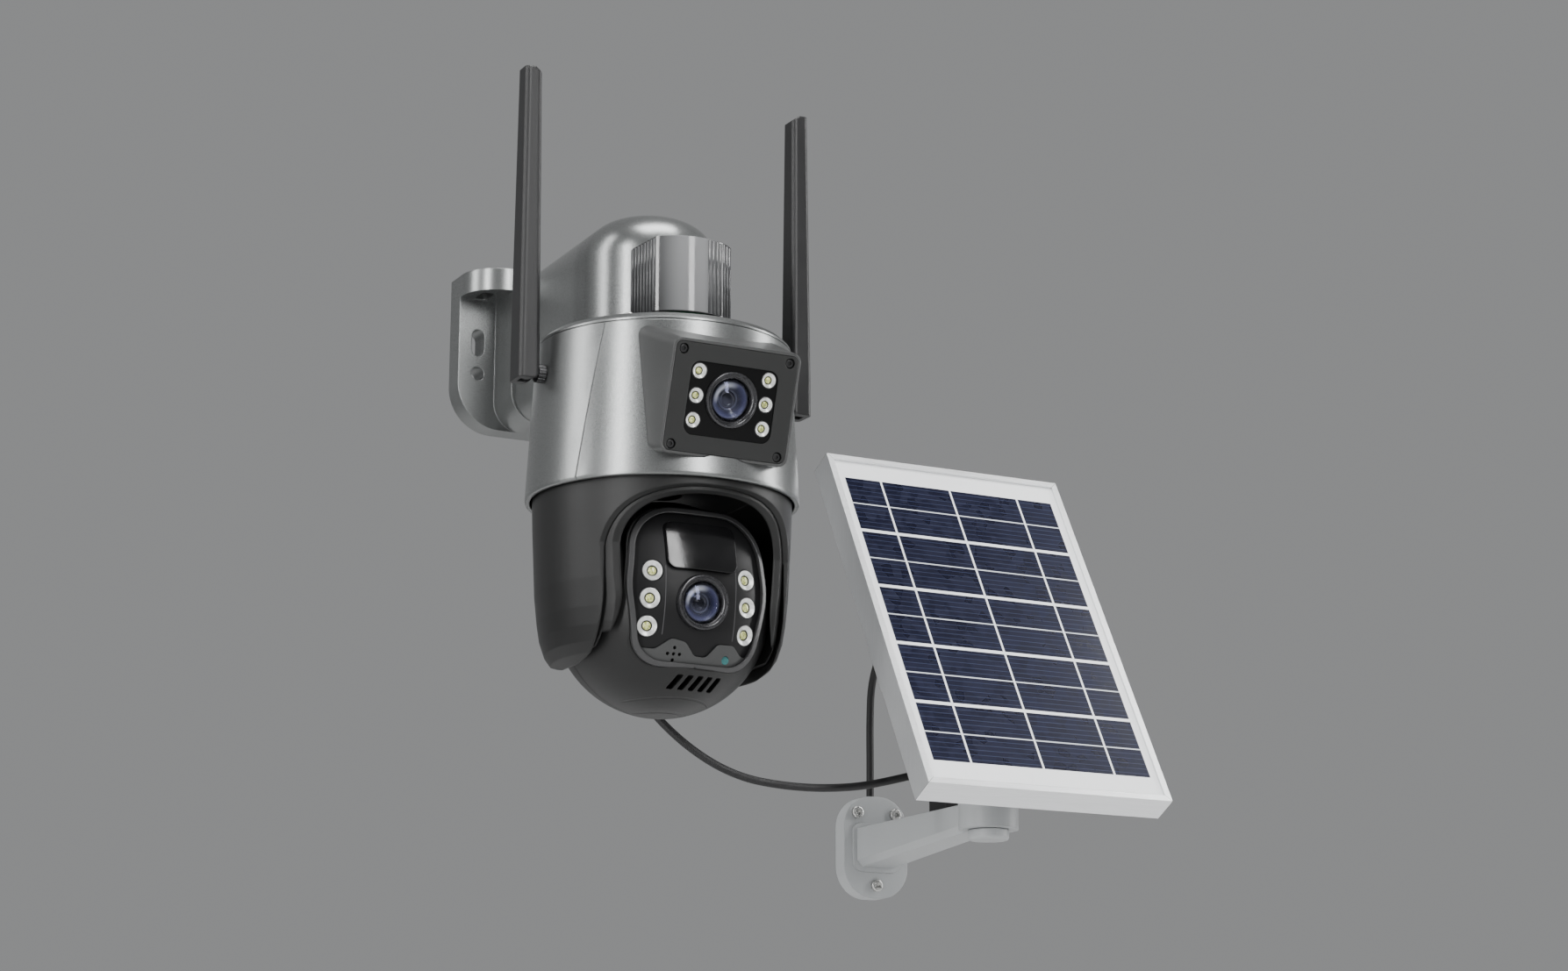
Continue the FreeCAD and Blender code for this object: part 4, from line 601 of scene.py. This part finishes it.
dress(sensor_grey, "sensor_plate")
teal, at = finish_of("teal_sensor", Roughness=0.25, Specular_IOR_Level=0.3)
at.noise(600.0).blend((0.022, 0.085, 0.088), (0.050, 0.150, 0.148)).into("Base Color")
at.noise(900.0).bump(0.00003)
dress(teal, "light_sensor")


# ---- solar panel ----
# Dark blue cells in five rows, laminated on white sheet under clear textured glass. Tinned ribbons cross
# every row and a bus line runs along the middle of each; the frame is clear-anodised aluminium. The cells'
# pattern goes right through the laminate, so its back shows it too.
PANEL_ACROSS, PANEL_OUT, PANEL_DROP, PANEL_LEAN = 0.182, 0.1273, 0.1346, math.radians(28.5)
ROW = 34.6
HALF_HEIGHT = 2.5 * ROW
FINGERS = 12


def over_panel(at):
    """Millimetres across the leaning panel and up it, from its middle."""
    x, y, z = at.axes()
    u = (x - PANEL_ACROSS) * 1000.0
    v = ((y + PANEL_OUT) * (1000.0 * math.sin(PANEL_LEAN))
         + (z + PANEL_DROP) * (1000.0 * math.cos(PANEL_LEAN)))
    return u, v


solar, at = finish_of("solar_cells", Roughness=0.35, Specular_IOR_Level=0.12,
                      Coat_Weight=0.15, Coat_Roughness=0.1)
u, v = over_panel(at)
row = ((v + HALF_HEIGHT) * (1 / ROW)).maths("FRACT")
inside = abs(u).step(59.3, 59.7, 1.0, 0.0) * abs(v).step(HALF_HEIGHT - 1.0, HALF_HEIGHT - 0.8, 1.0, 0.0)
row_gap = (abs(row - 0.5) * ROW).step(ROW / 2 - 1.0, ROW / 2 - 0.8)
ribbon = abs(u).step(0.5, 0.62, 1.0, 0.0) + abs(abs(u) - 39.3).step(0.5, 0.62, 1.0, 0.0)
bus = (abs(row - 0.5) * ROW).step(0.28, 0.4, 1.0, 0.0)
finger_half = ROW / (2 * FINGERS)
finger = abs((row * FINGERS).maths("FRACT") - 0.5) * (ROW / FINGERS)
finger = finger.step(finger_half - 0.22, finger_half - 0.1)
crystal = at.node("ShaderNodeTexVoronoi", {"feature": "F1"}, {"Vector": at, "Scale": 210.0}, 1)
tint = crystal.axes()[0]
wafer = tint.blend((0.0018, 0.0024, 0.0115), (0.0038, 0.0052, 0.0200))
wafer = (finger * 0.5).blend(wafer, (0.050, 0.062, 0.125))
wafer = bus.blend(wafer, (0.58, 0.61, 0.66))
wafer = row_gap.blend(wafer, (0.80, 0.82, 0.84))
wafer = ribbon.blend(wafer, (0.78, 0.80, 0.82))
inside.blend((0.80, 0.81, 0.82), wafer).into("Base Color")
(tint * 0.12 + 0.26).into("Roughness")
at.noise(900.0).bump(0.00002)
dress(solar, "solar_laminate")

anodised, at = finish_of("anodised_frame", Metallic=0.85, Roughness=0.4)
u, v = over_panel(at)
along = at.node("ShaderNodeMapping", {}, {"Vector": at, "Scale": (60.0, 2600.0, 60.0)})
drawn = along.noise(1.0, 4.0)
mitre = abs(abs(u) - abs(v) + 33.0).step(0.06, 0.16, 1.0, 0.0) * abs(u).step(57.0, 57.2)
shine = drawn.blend((0.70, 0.71, 0.72), (0.86, 0.87, 0.88))
mitre.blend(shine, (0.10, 0.10, 0.10)).into("Base Color")
(drawn * 0.18 + 0.30).into("Roughness")
(drawn * 0.1 - mitre).bump(0.0001, edge=0.0003)
dress(anodised, "panel_frame", "panel_bracket")

junction, at = finish_of("junction_black", Roughness=0.45)
at.noise(40.0, 3.0).blend((0.014, 0.014, 0.015), (0.030, 0.030, 0.031)).into("Base Color")
at.noise(2600.0).bump(0.0001, edge=0.0006)
dress(junction, "junction_box")


# ---- panel's arm and holder ----
# Light grey moulded arm with a smooth satin skin, screwed to the wall; the holder turns in its ring.
pale, at = finish_of("pale_moulding", Roughness=0.42, Specular_IOR_Level=0.4)
mottle = at.noise(22.0, 3.0)
mottle.blend((0.29, 0.30, 0.305), (0.35, 0.36, 0.365)).into("Base Color")
mottle.step(0.3, 0.7, 0.36, 0.48).into("Roughness")
at.noise(2600.0, 2.0).bump(0.00006, edge=0.0007)
dress(pale, "panel_arm", "panel_swivel", "pivot_cap")


# ---- parts inside ----
# The floor, drives, cells and boards, mostly hidden: black mouldings, white acetal gears, pressed steel
# cans, shrink-wrapped cells and green boards.
dress(gland_black, "housing_floor", "battery_tray")
acetal, at = finish_of("acetal_white", Roughness=0.4, Subsurface_Weight=0.1)
at.noise(60.0).blend((0.68, 0.68, 0.63), (0.78, 0.78, 0.74)).into("Base Color")
at.noise(1400.0).bump(0.00004, edge=0.0002)
dress(acetal, "hub_retainer", "pan_gear", "pan_pinion", "tilt_gear", "tilt_pinion")
can_steel, at = finish_of("can_steel", Metallic=1.0, Roughness=0.35)
at.noise(300.0, 3.0).blend((0.42, 0.42, 0.41), (0.55, 0.55, 0.54)).into("Base Color")
at.noise(1400.0).bump(0.00003, edge=0.0003)
dress(can_steel, "pan_motor", "tilt_motor", "speaker")
sleeve, at = finish_of("cell_sleeve", Roughness=0.3)
at.noise(80.0, 2.0).blend((0.02, 0.10, 0.30), (0.04, 0.16, 0.42)).into("Base Color")
at.noise(300.0).bump(0.00006, edge=0.0004)
dress(sleeve, "battery_cells")
mask, at = finish_of("board_green", Roughness=0.35)
at.noise(400.0, 3.0).blend((0.01, 0.09, 0.04), (0.02, 0.16, 0.07)).into("Base Color")
at.noise(900.0).bump(0.00004)
dress(mask, "alarm_lamp_board", "circuit_boards", "ptz_camera_board")
